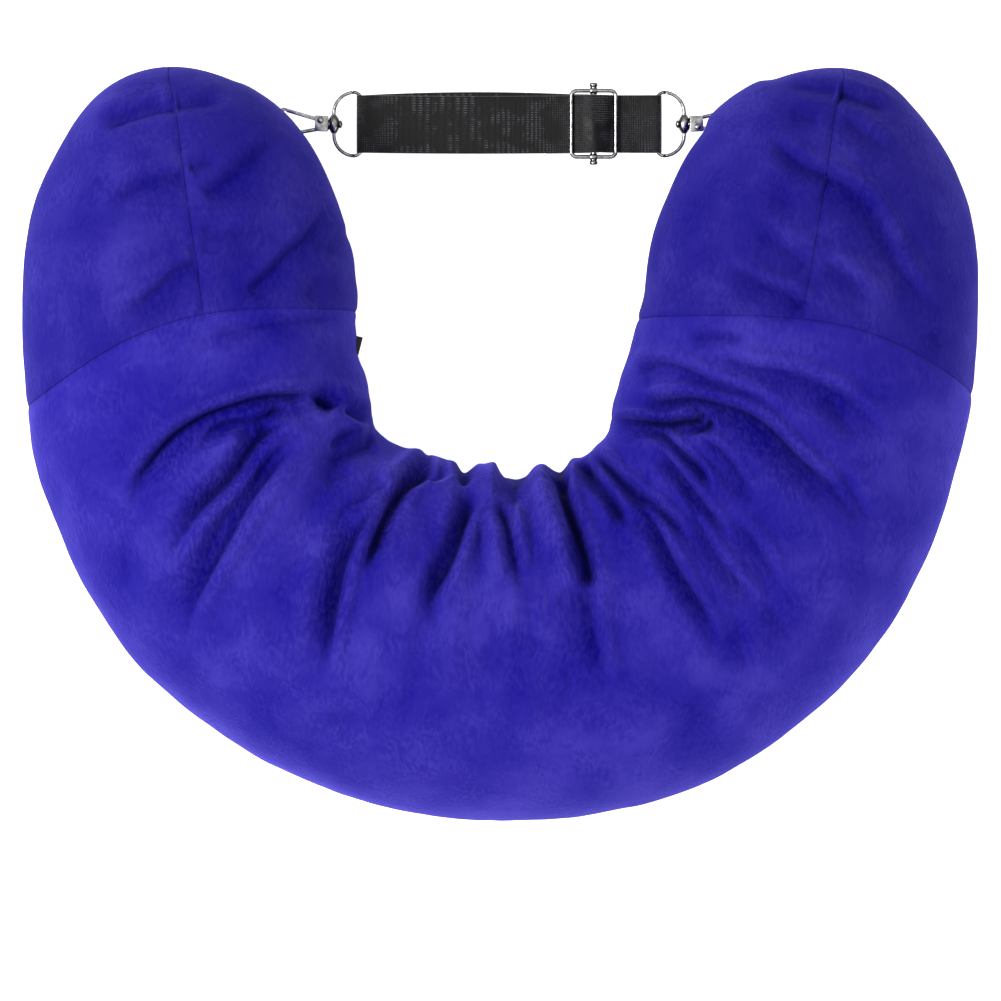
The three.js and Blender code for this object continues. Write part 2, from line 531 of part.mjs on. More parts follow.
// D-ring with the swivel boss on its bow, in its own frame: bar on x = 0, bow towards +x.
function dRing() {
  const radius = D_RING.wire / 2;
  const side = D_RING.high / 2 - radius;
  const bow = D_RING.deep - radius;
  const round = [30, 60].map((turn) => vector(
    bow - D_RING.corner * (1 - Math.sin(radians(turn))),
    side - D_RING.corner * (1 - Math.cos(radians(turn))),
    0,
  ));
  const upper = [vector(0, side, 0), vector(bow - D_RING.corner, side, 0), ...round,
    vector(bow, side - D_RING.corner, 0)];
  const lower = upper.map((point) => vector(point.x, -point.y, 0)).reverse();
  const bar = rodAlong("y", radius, 2 * side + D_RING.wire, 8);
  const below = BOSS_SIDES.map(([across, up]) => [across, -up]);
  const above = BOSS_SIDES.slice(0, -1).reverse();
  const profile = [[0, -1], ...below, ...above, [0, 1]]
    .map(([across, up]) => new THREE.Vector2(across * BOSS.radius, (up * BOSS.long) / 2));
  const boss = new THREE.LatheGeometry(profile, 14).translate(bow, 0, 0);
  const bore = rodAlong("x", BOSS.bore, CUTTER).translate(bow, 0, 0);
  const room = new THREE.BoxGeometry(2 * BOSS.half, CUTTER, CUTTER).translate(bow, 0, 0);
  const swivel = solid(boss).intersect(solid(room));
  return joined([bar, wireAlong([...upper, ...lower], radius, 30)]).add(swivel).subtract(solid(bore));
}
const BOSS_FROM_BAR = D_RING.deep - D_RING.wire / 2;

// Swivel hook in its own frame: swivel centre at 0, eye towards +x, gate on the +y side.
function hookBody() {
  const swivelEnd = -BOSS.half - PANEL_GAP;
  const head = rodAlong("x", HOOK.head, HOOK.headThick, 14).translate(swivelEnd - HOOK.headThick / 2, 0, 0);
  const postStart = swivelEnd - SUNK;
  const postEnd = BRACKET.from + SUNK;
  const post = rodAlong("x", HOOK.post, postEnd - postStart).translate((postStart + postEnd) / 2, 0, 0);
  const long = BRACKET.to - BRACKET.from;
  const across = 2 * BRACKET.half;
  const level = BRACKET.room + BRACKET.plate / 2;
  const middle = (BRACKET.from + BRACKET.to) / 2;
  const plates = [-1, 1].map((side) => (
    new THREE.BoxGeometry(long, across, BRACKET.plate).translate(middle, 0, side * level)));
  const high = 2 * (BRACKET.room + BRACKET.plate);
  const web = new THREE.BoxGeometry(BRACKET.web, across, high)
    .translate(BRACKET.from + BRACKET.web / 2, 0, 0);
  const pin = rodAlong("z", GATE.pin, high + 2 * RIVET.pinProud).translate(GATE.pivotA, GATE.pivotB, 0);
  const rivets = [-1, 1].map((side) => rodAlong("z", RIVET.radius, 2 * RIVET.proud)
    .translate(GATE.pivotA, GATE.pivotB, (side * high) / 2));
  const root = new THREE.BoxGeometry(ARM_ROOT.long, ARM_ROOT.wide, high - BRACKET.plate / 4)
    .translate(ARM_ROOT.x, ARM_ROOT.y, 0);
  const arm = wireAlong(HOOK_ARM.map(([x, y]) => vector(x, y, 0)), HOOK.wire / 2, 26);
  return joined([head, post, ...plates, web, pin, ...rivets, root, arm]);
}

// Spring gate of the hook, in the hook's frame
function hookGate() {
  const outline = new THREE.Shape();
  const half = GATE.wide / 2;
  outline.moveTo(0, half);
  outline.lineTo(0, -half);
  outline.lineTo(GATE.long - GATE_EYE.slant, -half);
  outline.lineTo(GATE.long, half);
  outline.closePath();
  const strip = new THREE.ExtrudeGeometry(outline, { depth: GATE.thick, bevelEnabled: false })
    .translate(0, 0, -GATE.thick / 2);
  const eye = rodAlong("z", GATE_EYE.radius, GATE.thick, 14);
  const hole = rodAlong("z", GATE.pin + GATE.slack, CUTTER, 14);
  const gate = joined([strip, eye]).subtract(solid(hole));
  return geometryOf(gate).rotateZ(radians(GATE.tilt)).translate(GATE.pivotA, GATE.pivotB, 0);
}

// Frame of the slider, centred on its bar
function sliderFrame() {
  const x = (SLIDER.wide - SLIDER.wire) / 2;
  const y = (SLIDER.high - SLIDER.wire) / 2;
  const corner = SLIDER.corner - SLIDER.wire / 2;
  const halves = [-1, 1].map((side) => {
    const arc = (turn) => vector(
      side * (x - corner + corner * Math.sin(radians(turn))),
      y - corner + corner * Math.cos(radians(turn)),
      0,
    );
    const straight = [-SUNK * side, SLIDER.straight * side].map((x) => vector(x, y, 0));
    const upper = [...straight, arc(0), arc(30), arc(60), arc(90)];
    const lower = upper.map((point) => vector(point.x, -point.y, 0)).reverse();
    return wireAlong([...upper, ...lower], SLIDER.wire / 2, 30);
  });
  return joined(halves);
}

// Loose bar of the slider: it holds the frame's short sides in a sleeve with a knob at each end
function sliderBar() {
  const y = (SLIDER.high - SLIDER.wire) / 2;
  const bar = rodAlong("y", SLIDER_BAR.radius, 2 * (y - SLIDER.wire / 2), 10);
  const ends = [-1, 1].flatMap((side) => [
    rodAlong("x", SLIDER_BAR.sleeve, SLIDER_BAR.sleeveLong, 12).translate(0, side * y, 0),
    rodAlong("y", SLIDER_BAR.knob, SLIDER_BAR.out, 12).translate(0, side * (y + SLIDER_BAR.out / 2), 0),
  ]);
  const rods = [-1, 1].map((side) => solid(
    rodAlong("x", SLIDER.wire / 2 + PANEL_GAP, CUTTER).translate(0, side * y, 0)));
  return rods.reduce((body, rod) => body.subtract(rod), joined([bar, ...ends]));
}

// Route of the webbing from the side, x along the strap and z up from its mid-plane
function wrap(x, z, radius, from, to, count) {
  return Array.from({ length: count + 1 }, (_, i) => {
    const turn = radians(lerp(from, to, i / count));
    return [x + radius * Math.cos(turn), z + radius * Math.sin(turn)];
  });
}

// One strip: its loose end, round the slider's bar, back round the left ring, over the bar and round the
// right ring to its other sewn end
function webbingRoute() {
  const round = (wire) => wire + PANEL_GAP + WEBBING.thick / 2;
  const ring = round(D_RING.wire / 2);
  const bar = round(SLIDER_BAR.radius);
  const { leftBar, rightBar, slider } = STRAP;
  const lift = SLIDER.lift;
  const underFrame = lift - round(SLIDER.wire / 2) - PANEL_GAP / 2;
  const halfFrame = (SLIDER.wide - SLIDER.wire) / 2;
  const over = bar + WEBBING.thick + PANEL_GAP;
  return [
    [slider - 24, -2.9], [slider - 17, -2.9], [slider - 12.5, -2.6], [slider - 8.5, -1.3], [slider - 4, 0.4],
    ...wrap(slider, lift, bar, -110, 110, 9),
    [slider - 5.2, 3.2], [slider - halfFrame, underFrame - 1.75], [slider - 15, -1.1],
    [slider - 22, -1.2], [0, -1.1], [leftBar + 14, -1.1], [leftBar + 6, -1.3],
    ...wrap(leftBar, 0, ring, 270, 90, 8),
    [leftBar + 6, 1.3], [leftBar + 14, 1.1], [0, 1], [slider - 22, 0.7], [slider - 15, 0.7],
    [slider - halfFrame, underFrame], [slider - 8.2, 3], [slider - 4.6, 5.6],
    ...wrap(slider, lift, over, 108, 68, 3),
    [slider + 5.2, 5.2], [slider + 8.6, 2.4], [slider + halfFrame, underFrame],
    [slider + 16, 0.9], [rightBar - 9, 1],
    ...wrap(rightBar, 0, ring, 100, -100, 8),
    [rightBar - 6, -1.2], [rightBar - 13.5, -0.9],
  ];
}

// One ribbon that follows a route in the x-z plane
function ribbon(route, wide, thick) {
  const skin = new Skin();
  const rings = route.map(([x, z], i) => {
    const before = route[Math.max(i - 1, 0)];
    const after = route[Math.min(i + 1, route.length - 1)];
    const along = vector(after[0] - before[0], 0, after[1] - before[1]).normalize();
    const face = vector(-along.z, 0, along.x).multiplyScalar(thick / 2);
    const edge = vector(0, wide / 2, 0);
    const centre = vector(x, 0, z);
    return [[1, 1], [1, -1], [-1, -1], [-1, 1], [1, 1]].map(([up, side]) => (
      centre.clone().addScaledVector(face, up).addScaledVector(edge, side)));
  });
  skin.sheet(rings, true);
  const first = rings[0];
  const last = rings[rings.length - 1];
  skin.fan(first[0], first.slice(1, 4), true);
  skin.fan(last[0], last.slice(1, 4), false);
  return skin.geometry();
}

// Sewn-on loop that a hook is clipped to, in the hook's frame, cut where it meets the cap
function hookLoop() {
  const bend = wrap(LOOP.bow, 0, LOOP.bend, LOOP.rise + 90, LOOP.rise + 270, 8);
  const legEnd = ([x, z]) => [
    x + LOOP.long * Math.cos(radians(LOOP.rise)),
    z + LOOP.long * Math.sin(radians(LOOP.rise)),
  ];
  return ribbon([legEnd(bend[0]), ...bend, legEnd(bend[bend.length - 1])], LOOP.wide, LOOP.thick);
}

const group = new THREE.Group();

function place(name, geometry, material, parent = group) {
  const mesh = new THREE.Mesh(geometry, material);
  mesh.name = name;
  parent.add(mesh);
  return mesh;
}

// The plush panels
const panels = {
  gathered_middle: middlePanel(),
  left_cap_outer: capHalf("left", "outer"),
  left_cap_inner: capHalf("left", "inner"),
  right_cap_inner: capHalf("right", "inner"),
  right_cap_outer: capHalf("right", "outer"),
};
for (const [name, geometry] of Object.entries(panels)) place(name, geometry, PLUSH.clone());

// The strap lies level between the arms
const strap = new THREE.Group();
strap.position.set(0, STRAP.y, STRAP.z);
group.add(strap);
place("strap_webbing", ribbon(webbingRoute(), WEBBING.wide, WEBBING.thick), BLACK_WEB.clone(), strap);
place("slider_frame", geometryOf(sliderFrame()), NICKEL.clone(), strap)
  .position.set(STRAP.slider, 0, SLIDER.lift);
place("slider_bar", geometryOf(sliderBar()), NICKEL.clone(), strap)
  .position.set(STRAP.slider, 0, SLIDER.lift);

const ENDS = {
  left: { bar: STRAP.leftBar, turn: [0, Math.PI, 0], tilt: HOOK.leftTilt, cap: "left_cap_inner" },
  right: { bar: STRAP.rightBar, turn: [Math.PI, 0, 0], tilt: -HOOK.rightTilt, cap: "right_cap_inner" },
};
for (const [side, end] of Object.entries(ENDS)) {
  const outward = side === "left" ? -1 : 1;
  const ring = place(`${side}_d_ring`, geometryOf(dRing()), NICKEL.clone(), strap);
  ring.position.set(end.bar, 0, 0);
  ring.rotation.set(...end.turn);
  const hook = new THREE.Group();
  hook.position.set(end.bar + outward * BOSS_FROM_BAR, 0, 0);
  hook.rotation.set(...end.turn);
  const tilted = new THREE.Group();
  tilted.rotation.z = radians(end.tilt);
  hook.add(tilted);
  strap.add(hook);
  place(`${side}_hook`, geometryOf(hookBody()), NICKEL.clone(), tilted);
  place(`${side}_gate`, hookGate(), NICKEL.clone(), tilted);
  const loop = place(`${side}_loop`, hookLoop(), BLACK_WEB.clone(), tilted);
  group.updateMatrixWorld(true);
  const inPlace = solid(loop.geometry.clone().applyMatrix4(loop.matrixWorld));
  const cap = panels[end.cap];
  const cuts = [0, CLOTH_CUT].map((far) => (
    solid(cap.clone().translate(-outward * far, 0, -far))));
  const cut = cuts.reduce((body, cutter) => body.subtract(cutter), inPlace);
  loop.geometry = geometryOf(cut).applyMatrix4(loop.matrixWorld.clone().invert());
}

// End of the zip's pull tab, seated on the inner wall below the left cross seam
const tabBlank = new THREE.BoxGeometry(PULL_TAB.long, PULL_TAB.high, PULL_TAB.thick)
  .rotateZ(radians(PULL_TAB.turn)).translate(PULL_TAB.x, PULL_TAB.y, PULL_TAB.z);
const tabCut = solid(tabBlank)
  .subtract(solid(panels.gathered_middle))
  .subtract(solid(panels.gathered_middle.clone().translate(CLOTH_CUT, 0, 0)));
place("zip_pull_tab", geometryOf(tabCut), BLACK_TAB.clone());

export default group;
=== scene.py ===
"""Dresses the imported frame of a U-shaped plush neck pillow with a clip-on strap.

Run as a script, it builds every piece and the stage. The tables of the cloth are in millimetres, seen from
above with +X to the right and +Y to the top; every size in a property is in metres.
"""
import math
from collections import namedtuple

import bmesh
import bpy
import numpy as np
from bpy.props import FloatProperty, FloatVectorProperty, PointerProperty
from mathutils import Matrix, Vector, noise


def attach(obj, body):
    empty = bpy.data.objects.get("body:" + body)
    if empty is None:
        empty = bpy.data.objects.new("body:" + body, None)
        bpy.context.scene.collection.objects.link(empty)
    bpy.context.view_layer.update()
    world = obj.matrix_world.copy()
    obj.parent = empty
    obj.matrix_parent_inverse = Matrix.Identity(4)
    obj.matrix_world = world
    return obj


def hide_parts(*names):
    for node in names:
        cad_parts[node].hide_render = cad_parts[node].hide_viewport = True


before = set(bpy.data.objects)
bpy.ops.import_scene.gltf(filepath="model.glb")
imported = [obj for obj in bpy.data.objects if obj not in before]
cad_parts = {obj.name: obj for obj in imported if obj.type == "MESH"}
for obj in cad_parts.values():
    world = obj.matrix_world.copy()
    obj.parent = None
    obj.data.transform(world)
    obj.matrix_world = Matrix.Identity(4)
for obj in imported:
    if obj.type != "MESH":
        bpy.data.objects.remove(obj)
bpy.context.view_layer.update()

bl_info = {
    "name": "Plush Neck Pillow",
    "version": (1, 0, 0),
    "blender": (4, 5, 0),
    "location": "View3D > Sidebar > Neck Pillow",
    "description": "Builds a U-shaped plush neck pillow with its clip-on strap",
    "category": "Mesh",
}

MM = 0.001
BODY = "pillow"

# The stuffed tube, in millimetres. Its weight presses the lowest FOOT_SINK flat, its section is a little
# squarer than an ellipse, and its ends are rounded over the lengths NOSE_FROM_ABOVE and NOSE_FROM_SIDE.
SEAM_GAP = 0.16
FOOT_SINK = 5
SECTION_POWER = 2.15
NOSE_FROM_ABOVE, NOSE_FROM_SIDE = 117, 112
# The turn round the section, in degrees from its level, where the folds of the top take over from those of
# the underside, which are the same ones mirrored, weaker, and gone where the tube rests on the floor
FOLD_TURN = (-30, 5)
UNDER_FOLD_SHARE = 0.75
FOOT_CLEAR = (2, 12)

# One row for each section of the U, from the end of the left arm to the end of the right arm. in and out:
# where it meets the inner and the outer outline, seen from above. tall: its height.
Section = namedtuple("Section", "in_x in_y out_x out_y tall")
SECTIONS = (
    Section(-81.5, 188.5, -247.5, 188.5, 138),
    Section(-76.5, 166.5, -242.5, 166.5, 138),
    Section(-75, 121.5, -241, 121.5, 139),
    Section(-73, 79, -239.5, 66.5, 141),
    Section(-73.5, 65.5, -237, 18, 143),
    Section(-72.5, 44, -233, -8.5, 145),
    Section(-64.5, 19, -227, -28.5, 146),
    Section(-61, 6.5, -207, -73.5, 148),
    Section(-44.5, -3.5, -173.5, -118.5, 149),
    Section(-26.5, -8.5, -119, -158.5, 149),
    Section(-10.5, -13.5, -60.5, -181.5, 149),
    Section(7, -15.5, 2, -188.5, 149),
    Section(22, -11.5, 69.5, -180.5, 149),
    Section(39.5, -7, 123.5, -158.5, 149),
    Section(51, 1.5, 173, -118.5, 149),
    Section(54.5, 11.5, 202, -78.5, 148),
    Section(56, 21.5, 220.5, -38.5, 146),
    Section(63, 41.5, 232, 5.5, 144),
    Section(68.5, 62, 235.5, 24, 143),
    Section(73, 79, 238.5, 66.5, 141),
    Section(74.5, 121.5, 240.5, 121.5, 139),
    Section(76, 166.5, 242, 166.5, 138),
    Section(83.5, 188, 249.5, 188, 138),
)

# The two seams across the tube. row: its section; bow: how far its middle runs towards the arm's end;
# power: how square that bow is; skew: how much more it bows on the outer side; ahead: the way to the end.
CrossSeam = namedtuple("CrossSeam", "row bow power skew ahead")
CROSS_SEAMS = {
    "left": CrossSeam(row=4, bow=19, power=2, skew=-0.48, ahead=-1),
    "right": CrossSeam(row=18, bow=17, power=2, skew=0, ahead=1),
}

# The seam along the crown of each cap, as its place across the tube from -1, inner, to 1, outer.
CrownSeam = namedtuple("CrownSeam", "at_end at_cross power")
CROWN_SEAMS = {
    "left": CrownSeam(at_end=0.15, at_cross=-0.135, power=0.5),
    "right": CrownSeam(at_end=0.43, at_cross=-0.105, power=0.35),
}

# One row for each fold, seen from above. route: its deepest line; deep: its depth, less than 0 for a ridge;
# left and right: how wide it is on each side of the route; lip: height of the roll of cloth beside it, on the
# left where it is more than 0; opens and dies: the share of the route over which it does so.
Fold = namedtuple("Fold", "name route deep left right lip opens dies")
FOLDS = (
    Fold("left shoulder line", ((-90, 24), (-101.5, 25), (-113, 24.5), (-123, 22.8), (-133, 19.8),
         (-148, 14.5), (-163, 5.5), (-173, -4.5), (-180.5, -15), (-185.5, -27.5), (-187.5, -36)),
         5.5, 5, 2.4, -2.6, 0.1, 0.3),
    Fold("left shoulder tuck", ((-98, 16.5), (-110.5, 17), (-118, 13.5), (-128, 12), (-137.5, 10),
         (-144.5, 5.5), (-150.5, -1.5), (-154, -6.5)), 4.4, 3.4, 2.4, -1.2, 0.2, 0.4),
    Fold("left shoulder nick", ((-122.5, 7.5), (-127, 4.5), (-132, 0.5)), 2, 2.4, 2.4, 0, 0.3, 0.4),
    Fold("left shoulder foot", ((-186.5, -41), (-189.5, -53.5), (-188.5, -66), (-185.5, -74.5)),
         1.4, 5, 5, 0, 0.4, 0.4),
    Fold("left sweep, upper", ((-108, 10), (-114.5, 7), (-121.5, 1), (-127, -6.5), (-132.5, -14),
         (-138.5, -20.5), (-145, -26.5), (-153, -34.5), (-160.5, -46), (-166.5, -57), (-171.5, -64.5)),
         6.4, 3.2, 3.6, 1.8, 0.12, 0.45),
    Fold("left sweep, lower", ((-100.5, -0.5), (-108.5, -7), (-115.5, -15.5), (-122.5, -24.5), (-129, -34),
         (-135, -45), (-141.5, -56.5), (-149, -69.5), (-155, -82), (-157.5, -94.5), (-157, -106)),
         5.2, 3.2, 5.5, 2.4, 0.2, 0.4),
    Fold("left sweep, middle", ((-119.5, -9.5), (-125.5, -20.5), (-132.5, -31), (-139.5, -42.5)),
         -1.4, 3.5, 3.5, 0, 0.3, 0.5),
    Fold("left pocket", ((-80.5, 17.5), (-84.5, 21.5), (-90, 23.5), (-97, 25)), 6, 3.6, 3.2, 0, 0.15, 0.6),
    Fold("left pocket, second", ((-66, 9.5), (-69.5, 13), (-74, 15.5), (-80, 17.5)),
         3.2, 2.4, 3, 0, 0.3, 0.3),
    Fold("left lip", ((-108, 5), (-100.5, 8.5), (-90.5, 11.5), (-79, 11.5), (-72, 8), (-66, 3)),
         -2, 4, 4, 0, 0.2, 0.3),
    Fold("left lip crescent", ((-86, -3), (-82, 2), (-76.5, 5), (-68.5, 6.5)), 2.6, 2, 2.8, 0, 0.3, 0.4),
    Fold("left hollow 1", ((-61.5, 2.5), (-70.5, -2), (-81.5, -6), (-94.5, -8)),
         2.6, 4.5, 3.6, -1.2, 0.1, 0.4),
    Fold("left hollow 2", ((-71.5, -12.5), (-81.5, -16.5), (-89.5, -20.5)), 1.8, 4, 4, 0, 0.3, 0.4),
    Fold("left hollow 3", ((-56.5, -18.5), (-68, -27), (-76.5, -31), (-82.5, -41), (-88.5, -53.5)),
         2.6, 4, 5, 1, 0.1, 0.5),
    Fold("gather 1", ((-32.5, -10.5), (-39.5, -13), (-45.5, -17), (-51.5, -25.5), (-57, -36), (-62, -47.5),
         (-65.5, -56.5), (-68.5, -66.5)), 6.4, 3, 3.4, -2, 0.1, 0.3),
    Fold("gather 1 crescent", ((-26, -12.5), (-30.5, -16), (-36.5, -16)), 2.6, 2.2, 2.4, 0, 0.3, 0.3),
    Fold("gather 2", ((-58, -21), (-66.5, -36), (-72.5, -46), (-76.5, -56.5), (-79, -63.5), (-80.5, -71),
         (-83, -83.5), (-85.5, -96.5), (-88, -108.5), (-86.5, -123.5)), 6, 2.8, 4.6, 2.4, 0.3, 0.35),
    Fold("gather 3 pocket", ((-17, -9.5), (-18, -14.5), (-16, -21.5)), 4, 2.6, 2.8, 0, 0.02, 0.4),
    Fold("gather 3", ((-12.5, -23.5), (-16.5, -34), (-20, -45.5), (-23, -54), (-27, -63), (-31.5, -71),
         (-34.5, -79.5), (-32.5, -98.5)), 6.4, 2.8, 3.6, 1.8, 0.15, 0.45),
    Fold("gather 4 roll", ((-4, 1.5), (-3, -9.5), (-5, -21), (-6, -34.5)), -3.2, 2.6, 5, 0, 0.02, 0.6),
    Fold("gather 4 hollow", ((7.5, -9.5), (7, -18.5), (6.5, -28.5), (6.5, -42.5)),
         3.8, 4.4, 4.2, 0, 0.02, 0.5),
    Fold("gather 4", ((-0.5, -28.5), (3, -39.5), (5.5, -51), (7.5, -62.5), (9.5, -76)), 5, 3, 3, 1.2, 0.15,
         0.4),
    Fold("gather 5 roll", ((26, -19.5), (29.5, -33.5), (33.5, -51)), -2.2, 3.4, 4.5, 0, 0.1, 0.4),
    Fold("gather 6", ((28.5, -13.5), (30.5, -23.5), (34, -34), (38.5, -45), (41.5, -55), (44, -65.5),
         (44.5, -75.5)), 8, 2.8, 4, -2.6, 0.05, 0.2),
    Fold("gather 6, lower", ((43.5, -68.5), (43.5, -81), (45.5, -93.5), (48, -106), (50.5, -118.5),
         (52.5, -128.5)), 3.6, 3.2, 5.5, 1.4, 0.15, 0.5),
    Fold("gather 7", ((40.5, -7.5), (48.5, -19), (55.5, -28), (60, -36), (63.5, -43.5)),
         5.2, 2.6, 2.8, 1.4, 0.05, 0.4),
    Fold("gather 8", ((46.5, -4.5), (56, -13.5), (65.5, -22.5), (74.5, -29), (80, -33.5), (86, -39),
         (91.5, -46.5), (95.5, -54)), 4.8, 2.4, 3, 1.6, 0.08, 0.35),
    Fold("gather 9", ((64.5, -27), (72, -34.5), (78, -43.5), (83.5, -54.5), (89.5, -65.5), (96, -75.5),
         (101.5, -84.5), (106, -96), (107.5, -106)), 4.6, 2.6, 3.7, 2.4, 0.2, 0.35),
    Fold("right tuck", ((69.5, 9.5), (80.5, 3.5), (89.5, -4), (98.5, -12), (102.5, -18), (106.5, -22)),
         4.4, 2.2, 2.6, 1.2, 0.1, 0.3),
    Fold("right lip", ((52.5, 10.5), (61.5, 11.5), (70, 11.8), (79, 12), (90, 12.5), (101, 13)),
         7, 2.2, 4, 3, 0.4, 0.12),
    Fold("right pocket", ((104.5, 13.5), (100.5, 10.5), (97.5, 7), (97, 2)), 8, 3.6, 3.6, 0, 0.2, 0.6),
    Fold("right sweep 1", ((77, -2.5), (85.5, -11.5), (94.5, -22.5), (102, -32), (108.5, -39.5),
         (114.5, -50)), 4, 2.4, 3, 2, 0.15, 0.35),
    Fold("right shoulder line", ((63.5, 20.5), (79.5, 21.5), (95.5, 23), (107, 20.5), (118.5, 17),
         (129.5, 11), (139.5, 2.5), (148, -6.5), (157, -14.5), (167, -23), (176.5, -36), (184, -52)),
         5.6, 2.6, 5, 2.6, 0.12, 0.4),
    Fold("right sweep 2", ((98.5, 3), (108.5, -3), (116, -11.5), (122, -21.5), (127, -32.5)),
         3.4, 2.4, 4.4, 1.4, 0.2, 0.35),
    Fold("right sweep 2, lower", ((110.5, -36), (121, -44), (130, -56), (137.5, -69), (147, -82)),
         3, 2.8, 5, 1.2, 0.3, 0.5),
    Fold("right sweep 3", ((90, -23), (97.5, -38.5), (105.5, -54.5), (117, -68.5), (125.5, -79.5),
         (131.5, -89.5)), 3.6, 2.6, 3.8, 1, 0.3, 0.4),
    Fold("right sweep 4", ((127, -77.5), (139.5, -91), (148, -103.5)), 2, 7, 7, 0, 0.4, 0.4),
    Fold("right sweep 5", ((113, -79.5), (118.5, -93.5), (120.5, -106), (123.5, -119.5)),
         1.8, 4, 6, 0.8, 0.3, 0.4),
    Fold("right arm line, low", ((67.5, 37.5), (79.5, 40), (92, 36.5), (105.5, 30), (122, 25), (137, 18),
         (150.5, 9)), 3.2, 2.8, 4.8, 1.8, 0.05, 0.4),
    Fold("right arm line, long", ((101, 44), (112, 41.5), (124.5, 37.5), (142, 35), (157, 30),
         (168.5, 24.5), (178.5, 17), (188.5, 8), (196.5, 0.5)), 3.4, 3, 5, 1.4, 0.2, 0.35),
    Fold("right arm branch", ((160.5, 28.5), (167.5, 19), (174.5, 7.5), (179, 0.5)), 2, 3.6, 4, 0, 0.3, 0.4),
    Fold("right arm line, high", ((92.5, 53.5), (103.5, 53), (115.5, 52.5), (125.5, 49)),
         2.4, 2.4, 4, 0, 0.2, 0.4),
    Fold("right shoulder end", ((167, -13.5), (174.5, -22.5), (180.5, -32.5), (186, -44.5)),
         2.4, 3.4, 4, 1.2, 0.3, 0.4),
    Fold("right edge hollow", ((214.5, 58.5), (222.5, 44.5)), 1.2, 4, 4, 0, 0.3, 0.4),
    Fold("lower hollow 1", ((-85.5, -128.5), (-83.5, -139.5), (-79.5, -152.5)), 1.2, 7, 7, 0, 0.4, 0.5),
    Fold("lower hollow 2", ((1, -96.5), (-2, -111), (-3, -125.5)), 1.4, 6, 7, 0.6, 0.4, 0.5),
    Fold("lower hollow 3", ((33.5, -101), (32.5, -123.5), (25.5, -143.5)), 1.6, 7, 8, 0, 0.4, 0.5),
    Fold("lower hollow 4", ((16.5, -92.5), (15.5, -110.5)), 1, 5, 5, 0, 0.4, 0.5),
    Fold("lower hollow 5", ((89.5, -128.5), (102, -137.5), (117, -144.5)), 1.5, 8, 8, 0, 0.4, 0.5),
    Fold("left seam hollow", ((-79.5, 62.5), (-100.5, 60.5), (-119.5, 58.5), (-138, 54.5), (-150.5, 51),
         (-161.5, 48)), 2, 3.6, 3, 0, 0.1, 0.4),
    Fold("left cap, tight crease", ((-162, 168.5), (-170.5, 167.5), (-180.5, 165), (-188, 163),
         (-194.5, 159.5), (-199, 157)), 2.6, 2.6, 3.2, -1, 0.05, 0.3),
    Fold("left cap, end crease", ((-167.5, 172), (-178, 170), (-185.5, 167.5), (-194.5, 163.5),
         (-203, 160.5)), 1.6, 2.6, 3, 0, 0.1, 0.4),
    Fold("left cap, end streak", ((-169.5, 180), (-180.5, 175.5), (-192.5, 169.5)), 0.9, 2.6, 3, 0, 0.2, 0.4),
    Fold("left cap, inner crease", ((-162.5, 169), (-153, 170), (-145.5, 171), (-135.5, 173)),
         1.9, 3.4, 2.8, 0, 0.05, 0.4),
    Fold("left cap, outer hollow", ((-157, 135.5), (-165.5, 134), (-175.5, 131.5), (-185.5, 127),
         (-191.5, 123), (-201, 118.5)), 2, 4.4, 3, -1.4, 0.08, 0.4),
    Fold("left cap, inner nick", ((-155.5, 137.5), (-148, 140), (-141, 142.5)), 1.6, 3, 3, 0, 0.05, 0.4),
    Fold("left cap, inner hollow", ((-150.5, 125), (-140.5, 129.5), (-133, 135.5), (-125.5, 141.5),
         (-119.5, 145.5), (-113, 150), (-108.5, 156.5)), 2.2, 3.2, 5, 1, 0.1, 0.4),
    Fold("left cap, low hollow", ((-151.5, 91), (-160.5, 86.5), (-168, 80), (-175.5, 73), (-185.5, 66.5),
         (-195.5, 58.5)), 2.2, 5.5, 3, -2, 0.05, 0.4),
    Fold("left cap, seam hollow", ((-146, 111.5), (-147, 101.5), (-147.5, 93.5)), 1.2, 3.4, 2.4, 0, 0.2, 0.2),
    Fold("left cap, middle hollow", ((-144.5, 106.5), (-130.5, 105), (-118, 107.5), (-107.5, 115)),
         1.4, 4, 5, 0.8, 0.1, 0.4),
    Fold("left cap, long hollow", ((-127.5, 72), (-121.5, 79), (-114.5, 85.5), (-106.5, 94.5),
         (-98.5, 101.5), (-90.5, 112.5), (-84.5, 122)), 2.3, 3, 5, 1.4, 0.15, 0.35),
    Fold("left cap, foot hollow", ((-97.5, 70.5), (-92.5, 77.5), (-88.5, 87.5)), 1.5, 4, 5, 0, 0.2, 0.4),
    Fold("left cap, edge hollow", ((-87.5, 92.5), (-83, 100.5), (-79, 109.5)), 1.4, 3.4, 4, 0, 0.2, 0.3),
    Fold("right cap, tight crease", ((168.5, 176.5), (174.5, 175.5), (182, 173), (189.5, 170),
         (196, 164.5)), 2.6, 2.6, 3.2, 1, 0.05, 0.35),
    Fold("right cap, inner crease", ((168.5, 177), (159.5, 178.5), (152, 179.5), (138.5, 178)),
         1.9, 3, 2.6, 0, 0.05, 0.4),
    Fold("right cap, end nick", ((160.5, 162), (152, 163.5), (143, 167)), 1.4, 3.4, 3, 0, 0.2, 0.4),
    Fold("right cap, inner hollow", ((132.5, 154), (142, 146.5), (149.5, 140.5), (158.5, 136.5),
         (163, 134)), 2.6, 2.8, 3.6, 1, 0.3, 0.02),
    Fold("right cap, long hollow", ((162, 134.5), (172, 130), (179.5, 124), (187, 115.5), (192.5, 104),
         (197, 94), (203.5, 84), (212, 71.5), (219.5, 59.5)), 2.7, 3, 5.5, 2, 0.03, 0.35),
